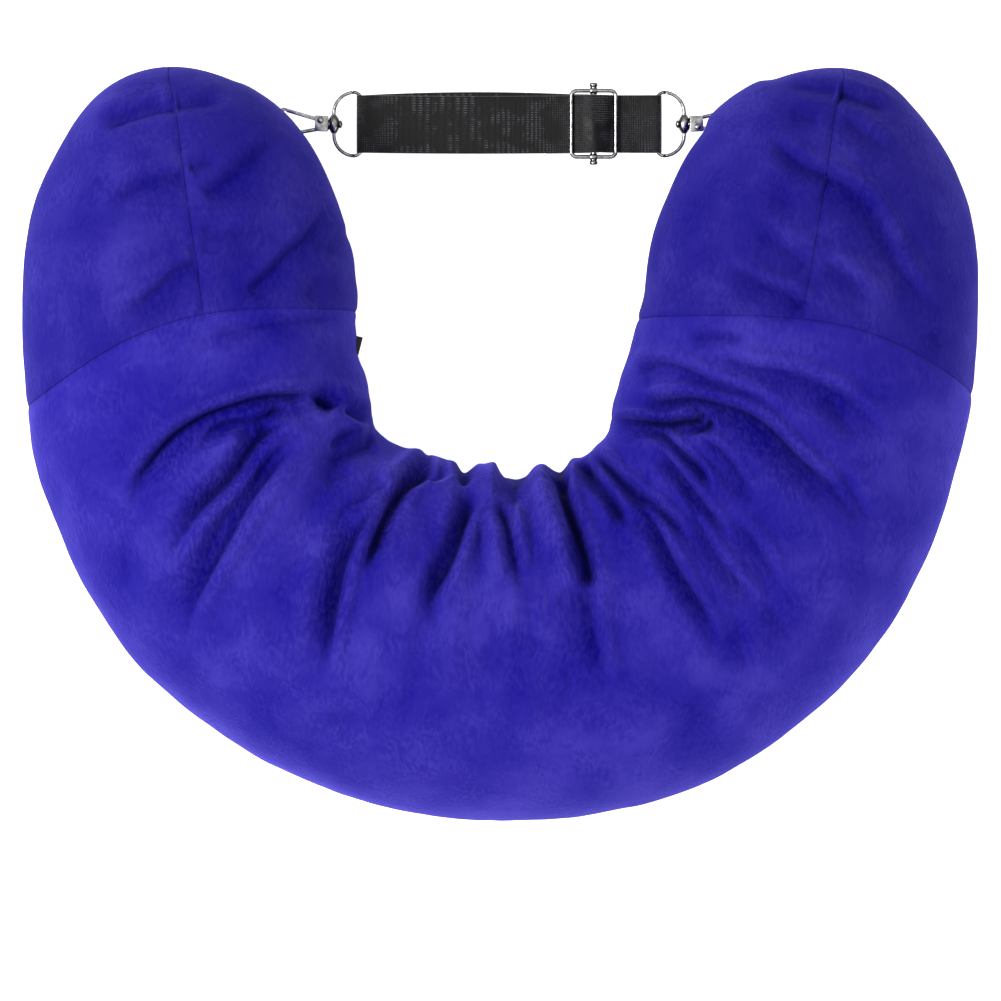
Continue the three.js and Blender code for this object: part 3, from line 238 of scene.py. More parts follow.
    Fold("right cap, outer line", ((171.5, 163.5), (180.5, 156.5), (189.5, 150.5), (196.5, 141.5)),
         1.5, 3, 3.6, 1, 0.2, 0.4),
    Fold("right cap, middle hollow", ((122.5, 106), (132, 103.5), (139.5, 97.5), (148, 91.5),
         (153.5, 86.5)), 1.8, 4, 4.6, 0.8, 0.3, 0.1),
    Fold("right cap, upper hollow", ((133.5, 124), (142, 120), (150.5, 117)), 1.1, 4, 5, 0, 0.3, 0.4),
    Fold("right cap, low hollow", ((108.5, 90.5), (122, 81.5), (134.5, 76.5), (144.5, 72.5), (152, 67)),
         2.6, 3.2, 5, 1.8, 0.3, 0.08),
    Fold("right cap, outer hollow", ((160.5, 91.5), (171, 84.5), (179.5, 76.5), (186.5, 66.5)),
         1.9, 3.4, 4.6, 1.8, 0.2, 0.4),
    Fold("gather 5 rim roll", ((22, -0.5), (22, -11.5), (20.5, -21), (16.5, -32.5)), -2, 3.2, 4.8, 0,
         0.02, 0.6),
    Fold("gather 6 rim", ((29.5, 4.5), (29, -4.5), (28.5, -13.5), (30, -21.5)), 5.5, 3, 4, 0, 0.02, 0.3),
    Fold("left arm edge", ((-72, 54), (-71.5, 42), (-69, 34), (-66, 25), (-62, 16)), -1.8, 5, 5, 0, 0.5, 0.5),
    Fold("left seam edge", ((-74, 84), (-72.5, 66), (-71, 50)), -1.2, 5, 5, 0, 0.5, 0.5),
    Fold("right cap end", ((97, 158), (108, 170), (121, 178.5), (138, 184.5)), -2, 7, 7, 0, 0.2, 0.2),
    Fold("pull tab rest", ((-70, 62), (-70.5, 54), (-72, 44)), -1.6, 4, 4, 0, 0.5, 0.5),
)

# How a fold's row becomes cloth. A side's width in millimetres is FOLD_WIDTH times the row's own value to
# the power WIDTH_POWER. What is said to be a reach or a place is counted in that width, from the route.
FOLD_STEPS = 32
FOLD_REACH = 6
FOLD_WIDTH, WIDTH_POWER = 0.5, 1.65
FOLD_DEPTH = 1.5
# The crease is a valley with a rounded bottom, and the trough a wider one that takes a share of its depth
CREASE_ROUND, CREASE_POWER = 0.8, 1.2
TROUGH_ROUND, TROUGH_REACH, TROUGH_SHARE = 1.6, 1.6, 0.34
# The cloth swells beside a crease, and a lip lies and rolls over it
SHOULDER_PLACE, SHOULDER_SHARE = 2.3, 0.22
LIP_PLACE, ROLL_PLACE = 1.8, 1.25
# No fold is deeper than DEEPEST, in millimetres. The ruffled pile and the painted shade show in full from the
# row depth DEEP_FOLD
DEEPEST = 13
DEEP_FOLD = 7
NAP_REACH = 3.2
# The painted dark line of shade in a crease is CORE_WIDTH millimetres wide for each unit of the row's depth,
# of which CORE_LEAST are counted at least, and a share of that painted shade spreads over the trough
CORE_WIDTH, CORE_LEAST = 0.24, 3.5
SHADE_SPREAD = 0.22
# How far the cloth rises, in millimetres, for most of the highlight painted on its crests and the shade
# painted in its valleys
RISE_FULL = 4.5
# The free end of an arm, along which the folds and the filling's lumps come in
FREE_END = 12

# The eye that the folds' places are seen from, in millimetres, and the level at which they are true to size
EYE = (-0.25, -28.75, 4070)
EYE_LEVEL = 70

# Unevenness of the filling: the size of its lumps and how far they lift the cloth
Lump = namedtuple("Lump", "size height")
LUMPS = (Lump(62, 1.4), Lump(24, 0.6), Lump(10, 0.15))
LUMPS_APART = (31.7, 11.3, 5.9)

# Small gathers of the middle panel: rounded rolls with a narrow valley between them. wide and long: their
# size across, at the centre line, and along; height; skew: how much they lean towards the bottom of the U;
# middle and reach: where they lie, as a distance from the inner side.
Gathers = namedtuple("Gathers", "wide long height skew middle reach")
GATHERS = (
    Gathers(wide=52, long=110, height=8, skew=0.5, middle=75, reach=55),
    Gathers(wide=21, long=90, height=3.4, skew=0.6, middle=105, reach=60),
)
ROUND_VALLEY = 0.07
ROLL_LEVEL = 0.2
LEAN_REACH = 90
GATHERS_PLACE, GATHERS_APART = 2.1, 7.3
GATHERS_FROM_SEAM = (6, 60)
GATHERS_LEAST = 0.1

# How the columns of the middle panel are spaced round the tube: the size of a step at a share of the turn
STEP_AT = (0, 0.11, 0.2, 0.34, 0.4, 0.75, 0.8, 0.86, 1)
STEP_SIZE = (6, 5, 3.4, 2, 1.1, 1, 1.4, 4, 6)
MIDDLE_COLUMNS = 250
MIDDLE_ROWS = 380
CAP_COLUMNS = 120
CAP_ROWS = 150
SEAM_STEPS = 9
SEAM_STEP_SHARE = 0.3
END_CROWDING = 0.9

# The rim of a panel turns in by these shares, towards a point that lies inside the panel, in metres
RIM_STEPS = (0.965, 0.94, 0.6)
RIM_INWARDS = 0.012
WELD = 0.00002

# The strap between the arms, level with the floor, in millimetres. Its rings and hooks each have a frame of
# their own: the bar of a ring on x = 0 with its bow towards +x, a hook's swivel at 0 with its eye towards +x.
STRAP_Y, STRAP_Z = 161.7, 22
LEFT_BAR, RIGHT_BAR, SLIDER_X = -70.6, 78.8, 46.8
WEBBING_WIDE, WEBBING_THICK = 29.2, 1.3
BACK_SWAY, SWAY_POWER, FRONT_SWAY = 1.7, 0.8, 0.5
# Where the painted highlight along the webbing's edges starts and is full, as shares of its width
PAINTED_EDGE_HIGHLIGHT = (0.484, 0.496)
TAPE_STEP, TAPE_ACROSS, TAPE_EDGE = 0.9, 8, 0.28
STITCH_COUNT, STITCH_LONG, STITCH_THICK = 13, 1.5, 0.56
STITCHES_FROM_BAR, STITCHES_UP, STITCHES_FROM_EDGE = 12.2, 1.62, 1
CLEAR = 0.3
RING_WIRE, RING_HIGH, RING_BOW, RING_CORNER = 1.8, 34, 10.5, 4
BOSS_FROM_BAR = 13.95
BOSS_HALF = 2.6
SLIDER_WIRE, SLIDER_WIDE, SLIDER_HIGH, SLIDER_CORNER, SLIDER_LIFT = 2.1, 24.6, 35.6, 3.9, 3.4
BAR_WIRE, SLEEVE, SLEEVE_LONG = 2.4, 1.85, 3.6
HOOK_ARM = ((3.4, -2.7), (5, -2.5), (12, -3.8), (18, -5.3), (23, -6.7), (27.4, -5.9), (30, -2.8), (30.2, 1.2),
            (28.4, 4.7), (25.6, 6.3))
HOOK_WIRE = 2
HEAD_FROM_BOSS, POST_WIRE, COLLAR_FROM_BRACKET = 0.65, 2.4, 0.35
COLLAR_PROFILE = ((0, 0.5), (1.9, 0.5), (2.1, 0.3), (2.1, -0.3), (1.9, -0.5), (0, -0.5))
BRACKET_FROM, BRACKET_TO, BRACKET_HALF, BRACKET_PLATE, BRACKET_ROOM = 2.9, 9.6, 3.9, 0.8, 1.75
GATE_PIVOT, GATE_LONG, GATE_WIDE, GATE_THICK, GATE_EYE, GATE_TILT = (6.85, 1.6), 19.1, 1.9, 2.6, 2, 14
GATE_SLANT = 1.2
PIN, PIN_SLACK = 0.9, 0.3
LOOP_WIDE, LOOP_THICK, LOOP_BEND, LOOP_BOW, LOOP_RISE, LOOP_LONG = 6, 1.2, 2.5, 29.7, -50, 15

# The ends of the strap: the bar's place, the half turn that points the hook outwards, and the hook's tilt
End = namedtuple("End", "bar outward turn_axis tilt")
ENDS = {"left": End(LEFT_BAR, -1, "Y", 2.6), "right": End(RIGHT_BAR, 1, "X", -1.5)}

# Half profiles of turned pieces: radius and place along the axis, in millimetres
BOSS_PROFILE = ((0, -4.7), (1.26, -4.7), (1.5, -4.4), (1.9, -3.7), (2.5, -2.6), (2.86, -1.6), (2.95, -0.9),
                (3, 0), (2.95, 1), (2.8, 1.9), (2.5, 2.7), (2.1, 3.4), (1.5, 4.3), (1.26, 4.7), (0, 4.7))
HEAD_PROFILE = ((0, -0.75), (0.9, -0.72), (1.5, -0.5), (1.95, -0.1), (2.1, 0.3), (2, 0.65), (0, 0.65))
RIVET_PROFILE = ((0, 0.75), (0.6, 0.7), (1.2, 0.5), (1.6, 0.2), (1.7, -0.2), (1.7, -0.6), (0, -0.6))
KNOB_PROFILE = ((0, 4.1), (1.3, 4.05), (1.85, 3.85), (2.1, 3.5), (2.1, 2.3), (1.9, 2.1), (1.55, 2),
                (1.5, 1.5), (1.6, 1.1), (0, 1.1))


def smooth(low, high, value):
    """0 below low, 1 above high, and an even slope between them."""
    share = np.clip((value - low) / (high - low), 0, 1)
    return share * share * (3 - 2 * share)


def mix(low, high, share):
    return low + (high - low) * share


def between(points, slopes, i, span, t):
    """The curve from point i to the next one, at the share t of the span between them."""
    ahead = (1 + 2 * t) * (1 - t) ** 2 * points[i] + t * (1 - t) ** 2 * span * slopes[i]
    return ahead + t * t * (3 - 2 * t) * points[i + 1] + t * t * (t - 1) * span * slopes[i + 1]


# The curve through the sections' rows
ROWS = np.array(SECTIONS, float)
CENTRES = (ROWS[:, 0:2] + ROWS[:, 2:4]) / 2
ROW_AT = np.concatenate([[0], np.cumsum(np.linalg.norm(np.diff(CENTRES, axis=0), axis=1))])
LENGTH = ROW_AT[-1]
AFTER = np.minimum(np.arange(len(ROWS)) + 1, len(ROWS) - 1)
BEFORE = np.maximum(np.arange(len(ROWS)) - 1, 0)
SLOPES = (ROWS[AFTER] - ROWS[BEFORE]) / (ROW_AT[AFTER] - ROW_AT[BEFORE])[:, None]


def section_at(s):
    """in_x, in_y, out_x, out_y and tall at the distances s along the centre line."""
    place = np.clip(s, 0, LENGTH)
    i = np.clip(np.searchsorted(ROW_AT, place, side="right") - 1, 0, len(ROWS) - 2)
    span = (ROW_AT[i + 1] - ROW_AT[i])[:, None]
    t = ((place - ROW_AT[i]) / span[:, 0])[:, None]
    return between(ROWS, SLOPES, i, span, t).T


def squared(value):
    return np.sign(value) * np.abs(value) ** (2 / SECTION_POWER)


def nose_share(end, length):
    return np.sqrt(1 - (1 - np.minimum(end / length, 1)) ** 2)


def bare_tube(s, angle):
    """The smooth stuffed tube. Angle 0 is the outer side, a quarter turn the crown, a half turn the inner."""
    in_x, in_y, out_x, out_y, tall = section_at(s)
    end = np.maximum(np.minimum(s, LENGTH - s), 0)
    across = (1 + squared(np.cos(angle)) * nose_share(end, NOSE_FROM_ABOVE)) / 2
    up = (1 + squared(np.sin(angle)) * nose_share(end, NOSE_FROM_SIDE)) / 2
    return np.stack([mix(in_x, out_x, across), mix(in_y, out_y, across), tall * up - FOOT_SINK], axis=1)


def outwards(s, angle):
    """Unit vectors that point out of the smooth tube."""
    step, turn = 0.5, 0.01
    inside = np.clip(s, 2 * step, LENGTH - 2 * step)
    along = bare_tube(inside + step, angle) - bare_tube(inside - step, angle)
    around = bare_tube(inside, angle + turn) - bare_tube(inside, angle - turn)
    out = np.cross(along, around)
    return out / np.linalg.norm(out, axis=1)[:, None]


def smooth_line(points, steps):
    """A smooth curve through the points, as short straight steps."""
    points = np.array(points, float)
    at = np.concatenate([[0], np.cumsum(np.sqrt(np.linalg.norm(np.diff(points, axis=0), axis=1)))])
    slopes = np.gradient(points, at, axis=0)
    place = np.linspace(0, at[-1], steps + 1)
    i = np.clip(np.searchsorted(at, place, side="right") - 1, 0, len(points) - 2)
    span = (at[i + 1] - at[i])[:, None]
    t = (place - at[i])[:, None] / span
    return between(points, slopes, i, span, t)


def nearest_on(line, places):
    """For each place: the way from the line to it, its side of the line and its share of the line."""
    far = np.full(len(places), np.inf)
    way = np.zeros_like(places)
    side = np.ones(len(places))
    share = np.zeros(len(places))
    for i in range(FOLD_STEPS):
        step = line[i + 1] - line[i]
        t = np.clip((places - line[i]) @ step / (step @ step), 0, 1)
        apart = places - line[i] - t[:, None] * step
        length = np.linalg.norm(apart, axis=1)
        closer = length < far
        far[closer] = length[closer]
        way[closer] = apart[closer]
        side[closer] = np.where(step[0] * apart[closer, 1] - step[1] * apart[closer, 0] < 0, -1, 1)
        share[closer] = (i + t[closer]) / FOLD_STEPS
    return far, way, side, share


def seen_from_above(points):
    """Where the eye above sees the points, at the level where the folds' places are true to size."""
    away = (EYE[2] - EYE_LEVEL) / (EYE[2] - points[:, 2:3])
    return EYE[:2] + (points[:, :2] - EYE[:2]) * away


def fold_moves(places, roll_share):
    """How far the folds lift the cloth, roll it sideways and ruffle its pile, and the shade painted into
    their creases, at places seen.
    """
    lift = np.zeros(len(places))
    roll = np.zeros((len(places), 2))
    shade = np.zeros(len(places))
    nap = np.zeros(len(places))
    for fold in FOLDS:
        line = smooth_line(fold.route, FOLD_STEPS)
        reach = FOLD_REACH * FOLD_WIDTH * max(fold.left, fold.right) ** WIDTH_POWER
        near = np.all((places > line.min(0) - reach) & (places < line.max(0) + reach), axis=1)
        if not near.any():
            continue
        far, way, side, share = nearest_on(line, places[near])
        width = FOLD_WIDTH * np.where(side > 0, fold.left, fold.right) ** WIDTH_POWER
        shown = smooth(0, fold.opens, share) * smooth(0, fold.dies, 1 - share)
        crease = np.exp(-(((np.hypot(far, CREASE_ROUND) - CREASE_ROUND) / width) ** CREASE_POWER))
        on_lip = shown * abs(fold.lip) * (fold.lip * side > 0)
        trough = np.exp((TROUGH_ROUND - np.hypot(far, TROUGH_ROUND)) / (TROUGH_REACH * width))
        lift[near] += on_lip * np.exp(-(((far - LIP_PLACE * width) / width) ** 2))
        shoulder = SHOULDER_SHARE * np.exp(-((far / width - SHOULDER_PLACE) ** 2)) * (fold.deep > 0)
        lift[near] -= FOLD_DEPTH * fold.deep * shown * (mix(crease, trough, TROUGH_SHARE) - shoulder)
        rolled = on_lip * np.exp(-(((far - ROLL_PLACE * width) / width) ** 2)) * smooth(0, 1, far / width)
        roll[near] -= roll_share * rolled[:, None] * way / np.maximum(far, 0.01)[:, None]
        strength = shown * min(abs(fold.deep) / DEEP_FOLD, 1)
        # Painted shade: a dark line along the crease and a share over its trough, darkening the colour where
        # shade falls
        core = np.exp(-((far / (CORE_WIDTH * max(fold.deep, CORE_LEAST))) ** 2))
        dark = mix(core, trough, SHADE_SPREAD) * strength * (fold.deep > 0)
        shade[near] = np.maximum(shade[near], dark)
        nap[near] = np.maximum(nap[near], np.exp(-((far / (NAP_REACH * width)) ** 2)) * strength)
    deep = np.maximum(-lift, 0)
    return np.maximum(lift, 0) - DEEPEST * np.tanh(deep / DEEPEST), roll, shade, nap


def cross_seam_at(side, angle):
    """Distance along the centre line at which the seam across the tube lies."""
    seam = CROSS_SEAMS[side]
    across = squared(np.cos(angle))
    bow = seam.bow * (1 - np.abs(across) ** seam.power) * (1 + seam.skew * across)
    return ROW_AT[seam.row] + seam.ahead * bow


def crown_seam_angle(side, s):
    """Angle at which the seam along a cap's crown lies."""
    seam = CROWN_SEAMS[side]
    row = ROW_AT[CROSS_SEAMS[side].row]
    end, whole = (s, row) if side == "left" else (LENGTH - s, LENGTH - row)
    share = np.clip(end / whole, 0, 1) ** seam.power
    across = mix(seam.at_end, seam.at_cross, share)
    return np.arccos(np.sign(across) * np.abs(across) ** (SECTION_POWER / 2))


def from_seams(s, angle):
    """Distance to the nearest seam, in millimetres."""
    nearest = np.full(len(s), 1000.0)
    in_x, in_y, out_x, out_y, _ = section_at(s)
    half = np.hypot(out_x - in_x, out_y - in_y) / 2
    turned = np.arctan2(np.sin(angle), np.cos(angle))
    for side, seam in CROSS_SEAMS.items():
        past = (s - cross_seam_at(side, angle)) * seam.ahead
        nearest = np.minimum(nearest, np.abs(past))
        crown = np.abs(turned - crown_seam_angle(side, s)) * half
        under = np.abs(turned + math.pi / 2) * half
        nearest = np.where(past > 0, np.minimum(nearest, np.minimum(crown, under)), nearest)
    return nearest


def lumps(points):
    """How far the uneven filling lifts the cloth."""
    lift = np.zeros(len(points))
    for place, lump in enumerate(LUMPS):
        shift = Vector(LUMPS_APART) * place
        lift += lump.height * np.array([noise.noise(Vector(point) / lump.size + shift) for point in points])
    return lift


def gathers(s, angle):
    """How far the small gathers lift the cloth of the middle panel."""
    top = np.full(len(s), math.pi / 2)
    from_seam = np.minimum(s - cross_seam_at("left", top), cross_seam_at("right", top) - s)
    in_x, in_y, out_x, out_y, _ = section_at(s)
    around = np.abs(math.pi - np.mod(angle, 2 * math.pi)) * np.hypot(out_x - in_x, out_y - in_y) / 2
    lean = np.tanh((LENGTH / 2 - s) / LEAN_REACH)
    lift = np.zeros(len(s))
    for place, row in enumerate(GATHERS):
        across = (s - row.skew * lean * around) / row.wide
        level = GATHERS_APART * place + GATHERS_PLACE
        value = np.array([noise.noise((a, b, level)) for a, b in zip(across, around / row.long)])
        rolls = np.sqrt(value ** 2 + ROUND_VALLEY ** 2) - ROUND_VALLEY
        shown = np.exp(-(((around - row.middle) / row.reach) ** 2))
        lift += row.height * (rolls - ROLL_LEVEL) * mix(GATHERS_LEAST, 1, shown)
    return lift * smooth(*GATHERS_FROM_SEAM, from_seam)


def cloth(s, angle, look):
    """Points of the finished cloth, in millimetres, the shade painted on each in creases, with the dark line
    of its seams, how ruffled it is and how far it stands proud, which paints crests lighter and valleys
    darker."""
    bare = bare_tube(s, angle)
    low, high = (math.sin(math.radians(turn)) for turn in FOLD_TURN)
    on_top = smooth(low, high, np.sin(angle))
    under = UNDER_FOLD_SHARE * (1 - on_top) * smooth(*FOOT_CLEAR, bare[:, 2])
    top_lift, top_roll, top_shade, top_nap = fold_moves(seen_from_above(bare), look.roll_share)
    under_lift, _, under_shade, under_nap = fold_moves(bare[:, :2] * (-1, 1), 0)
    seam = from_seams(s, angle)
    dip = look.seam_dip / MM * np.exp(-((seam / (look.seam_reach / MM)) ** 2))
    tuck = look.seam_tuck / MM * np.exp(-((seam / (look.tuck_reach / MM)) ** 2))
    free = smooth(0, FREE_END, np.minimum(s, LENGTH - s))
    lift = (on_top * top_lift + under * under_lift + lumps(bare) + gathers(s, angle) - dip) * free - tuck
    points = bare + outwards(s, angle) * lift[:, None]
    # rise: painted highlight on the crests and painted shade in the valleys, for the material
    rise = 0.5 + np.tanh(lift / RISE_FULL) / 2
    points[:, :2] += top_roll * (on_top * free)[:, None]
    points[:, 2] = np.maximum(points[:, 2], 0)
    shade = np.maximum(on_top * top_shade, under * under_shade)
    stitched = look.seam_shade * np.exp(-((seam / (look.tuck_reach / MM)) ** 2))
    return points, np.maximum(shade, stitched), np.maximum(on_top * top_nap, under * under_nap), rise


# Meshes
def finished(bm, name, material):
    """A new object at the origin from a bmesh, with smooth faces."""
    for face in bm.faces:
        face.smooth = True
    mesh = bpy.data.meshes.new(name)
    bm.to_mesh(mesh)
    bm.free()
    mesh.materials.append(material)
    piece = bpy.data.objects.new(name, mesh)
    bpy.context.scene.collection.objects.link(piece)
    return piece


def seam_spread(share, count):
    """Spreads even shares so that the first and last steps beside a seam are shorter."""
    step = np.minimum(np.arange(count), np.arange(count)[::-1])
    sizes = np.clip(mix(SEAM_STEP_SHARE, 1, step / SEAM_STEPS), 0, 1)
    at = np.concatenate([[0], np.cumsum(sizes)]) / sizes.sum()
    return np.interp(share, np.linspace(0, 1, count + 1), at)


def turn_spread(share):
    """Spreads even shares round the tube, with short steps where the folds are."""
    fine = np.linspace(0, 1, 2000)
    density = 1 / np.interp(fine, STEP_AT, STEP_SIZE)
    at = np.concatenate([[0], np.cumsum((density[1:] + density[:-1]) / 2)])
    return np.interp(share, at / at[-1], fine)


def close_rim(bm, inwards):
    """Turns the open rim of a panel in at its seam and closes it behind."""
    rim = [edge for edge in bm.edges if edge.is_boundary]
    loops = []
    while rim:
        found, waiting = set(), [rim[0]]
        while waiting:
            edge = waiting.pop()
            if edge in found:
                continue
            found.add(edge)
            waiting += [e for vert in edge.verts for e in vert.link_edges if e.is_boundary and e not in found]
        loops.append(list(found))
        rim = [edge for edge in rim if edge not in found]
    for loop in loops:
        verts = {vert for edge in loop for vert in edge.verts}
        middle = sum((vert.co for vert in verts), Vector()) / len(verts) + inwards(verts)
        for share in RIM_STEPS:
            made = bmesh.ops.extrude_edge_only(bm, edges=loop)["geom"]
            loop = [part for part in made if isinstance(part, bmesh.types.BMEdge) and part.is_boundary]
            verts = [part for part in made if isinstance(part, bmesh.types.BMVert)]
            bmesh.ops.scale(bm, verts=verts, vec=(share, share, share), space=Matrix.Translation(-middle))
        bmesh.ops.pointmerge(bm, verts=verts, merge_co=middle)


def make_panel(name, columns, rows, place, inwards, material):
    """One closed padded panel. place gives the cloth's points for shares across and along the panel."""
    bm = bmesh.new()
    # The crease layer carries the shade painted in creases, with the dark line of the seams; the rise layer
    # the height that paints crests lighter and valleys darker
    layers = [bm.verts.layers.float.new(layer) for layer in ("crease", "nap", "rise")]
    bmesh.ops.create_grid(bm, x_segments=columns, y_segments=rows, size=1)
    verts = list(bm.verts)
    shares = (np.array([vert.co[:2] for vert in verts]) + 1) / 2
    points, *values = place(shares[:, 0], shares[:, 1])
    for vert, point, *looks in zip(verts, points * MM, *values):
        vert.co = point
        for layer, value in zip(layers, looks):
            vert[layer] = value
    bmesh.ops.remove_doubles(bm, verts=bm.verts, dist=WELD)
    close_rim(bm, inwards)
    bmesh.ops.recalc_face_normals(bm, faces=bm.faces)
    panel = finished(bm, name, material)
    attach(panel, BODY)
    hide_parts(name)
    return panel


def middle_place(look):
    """Places the gathered middle between the two cross seams."""
    def place(u, v):
        angle = mix(-math.pi / 2, 1.5 * math.pi, turn_spread(u))
        start, stop = (cross_seam_at(side, angle) for side in CROSS_SEAMS)
        along = seam_spread(v, MIDDLE_ROWS)
        s = mix(start, stop, along) + SEAM_GAP / 2 * (np.sign(0.5 - v) * (np.abs(v - 0.5) > 0.4999))
        return cloth(s, angle, look)

    return place


def cap_place(side, half, look):
    """Places one half of a cap, from the end of its arm to the cross seam."""
    def place(u, v):
        share = 1 - np.cos(math.pi / 2 * seam_spread(v, CAP_ROWS) ** END_CROWDING)
        reach = cross_seam_at(side, np.full(len(v), math.pi / 2))
        middle = reach * share if side == "left" else LENGTH - (LENGTH - reach) * share
        crown = crown_seam_angle(side, middle)
        foot = -math.pi / 2 if half == "outer" else 1.5 * math.pi
        angle = mix(foot, crown, seam_spread(u, CAP_COLUMNS))
        seam = cross_seam_at(side, angle)
        s = seam * share if side == "left" else LENGTH - (LENGTH - seam) * share
        return cloth(s, angle, look)

    return place


# The strap's hardware
def strap_place(x, z=0.0):
    return Matrix.Translation((x, STRAP_Y, STRAP_Z + z))


def ring_place(end):
    return strap_place(end.bar) @ Matrix.Rotation(math.pi, 4, end.turn_axis)


def hook_place(end):
    swivel = strap_place(end.bar + end.outward * BOSS_FROM_BAR)
    pointed = swivel @ Matrix.Rotation(math.pi, 4, end.turn_axis)
    return pointed @ Matrix.Rotation(math.radians(end.tilt), 4, "Z")


def added(bm, make):
    """Runs a maker on the bmesh and gives the vertices that it added."""
    before = set(bm.verts)
    make()
    return [vert for vert in bm.verts if vert not in before]


def curve_through(points, step):
    """Points about one step apart on a smooth curve through the given ones."""
    far = np.linalg.norm(np.diff(points, axis=0), axis=1).sum()
    return smooth_line(points, max(int(far / step), 2))


def wire(bm, path, radius, sides=14):
    """A round wire along a path in the x-y plane, with domed ends."""
    path = np.asarray(path, float)
    tangent = np.gradient(path, axis=0)
    frames = []
    for point, way in zip(path, tangent):
        along = Vector((*way, 0)).normalized()
        turn = Matrix((Vector((0, 0, 1)), along.cross(Vector((0, 0, 1))) * -1, along)).transposed().to_4x4()
        frames.append((Matrix.Translation((*point, 0)) @ turn, 1))
    dome = [(0.5, 0.86), (0.86, 0.5), (0.98, 0.15)]
    first, last = frames[0][0], frames[-1][0]
    start = [(first @ Matrix.Translation((0, 0, -radius * out)), share) for out, share in reversed(dome)]
    stop = [(last @ Matrix.Translation((0, 0, radius * out)), share) for out, share in dome]
    rings = start + frames + stop

    def make():
        place, share = rings[0]
        circle = bmesh.ops.create_circle(bm, segments=sides, radius=radius * share, cap_ends=True,
                                         matrix=place)
        edges = list({edge for vert in circle["verts"] for edge in vert.link_edges})
        edges = [edge for edge in edges if edge.is_boundary]
        for (before, old), (after, new) in zip(rings, rings[1:]):
            grown = bmesh.ops.extrude_edge_only(bm, edges=edges)["geom"]
            verts = [part for part in grown if isinstance(part, bmesh.types.BMVert)]
            edges = [part for part in grown if isinstance(part, bmesh.types.BMEdge) and part.is_boundary]
            move = after @ Matrix.Scale(new / old, 4) @ before.inverted()
            bmesh.ops.transform(bm, verts=verts, matrix=move)
        bmesh.ops.contextual_create(bm, geom=edges)

    return added(bm, make)


def turned(bm, profile, place, steps=24):
    """A turned piece: a half profile, radius and place along z, spun once round z."""
    def make():
        verts = [bm.verts.new((radius, 0, z)) for radius, z in profile]
        edges = [bm.edges.new(pair) for pair in zip(verts, verts[1:])]
        bmesh.ops.spin(bm, geom=verts + edges, cent=(0, 0, 0), axis=(0, 0, 1), angle=2 * math.pi,
                       steps=steps, use_merge=True)

    verts = added(bm, make)
    bmesh.ops.remove_doubles(bm, verts=verts, dist=1e-4)
    verts = [vert for vert in verts if vert.is_valid]
    bmesh.ops.transform(bm, verts=verts, matrix=place)
    return verts


def eased_ring(hole, radius, half, edge=0.2):
    """Half profile of a short tube whose outer edges are eased."""
    return ((hole, -half), (radius - edge, -half), (radius, edge - half), (radius, half - edge),
            (radius - edge, half), (hole, half), (hole, -half))


def block(bm, centre, size, round_edge=0.25):
    """A box with rounded edges."""
    def make():
        bmesh.ops.create_cube(bm, size=1, matrix=Matrix.Translation(centre) @ Matrix.Diagonal((*size, 1)))

    verts = added(bm, make)
    edges = list({edge for vert in verts for edge in vert.link_edges})
    bmesh.ops.bevel(bm, geom=edges, affect="EDGES", offset=round_edge, segments=3, profile=0.5, material=-1)


def hard_piece(bm, name, body, material, place):
    """Finishes a hard piece, made in millimetres in its own frame, in the place of its node."""
    bmesh.ops.transform(bm, verts=bm.verts, matrix=Matrix.Scale(MM, 4) @ place)
    bmesh.ops.recalc_face_normals(bm, faces=bm.faces)
    piece = finished(bm, name, material)
    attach(piece, body)
    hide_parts(name)
    return piece


def make_ring(side, end, material):
    """D-ring with the swivel's barrel on its bow."""
    bm = bmesh.new()
    high = RING_HIGH / 2 - RING_WIRE / 2
    bend = np.radians(np.linspace(0, 90, 9))
    rise, fall = 1 - np.sin(bend), 1 - np.cos(bend)
    near = np.stack([RING_CORNER * fall, high - RING_CORNER * rise], axis=1)
    bow = np.stack([BOSS_FROM_BAR - RING_BOW * rise, high - RING_BOW * fall], axis=1)
    bar = [(0, y) for y in np.linspace(-0.3, high - RING_CORNER, 7)[:-1]]
    down = [(BOSS_FROM_BAR, y) for y in np.linspace(high - RING_BOW, 0, 4)[1:]]
    upper = np.array([*bar, *near, *bow, *down])
    wire(bm, np.concatenate([upper, (upper * (1, -1))[-2::-1]]), RING_WIRE / 2)
    boss = Matrix.Translation((BOSS_FROM_BAR, 0, 0)) @ Matrix.Rotation(-math.pi / 2, 4, "X")
    turned(bm, BOSS_PROFILE, boss)
    return hard_piece(bm, f"{side}_d_ring", BODY, material, ring_place(end))


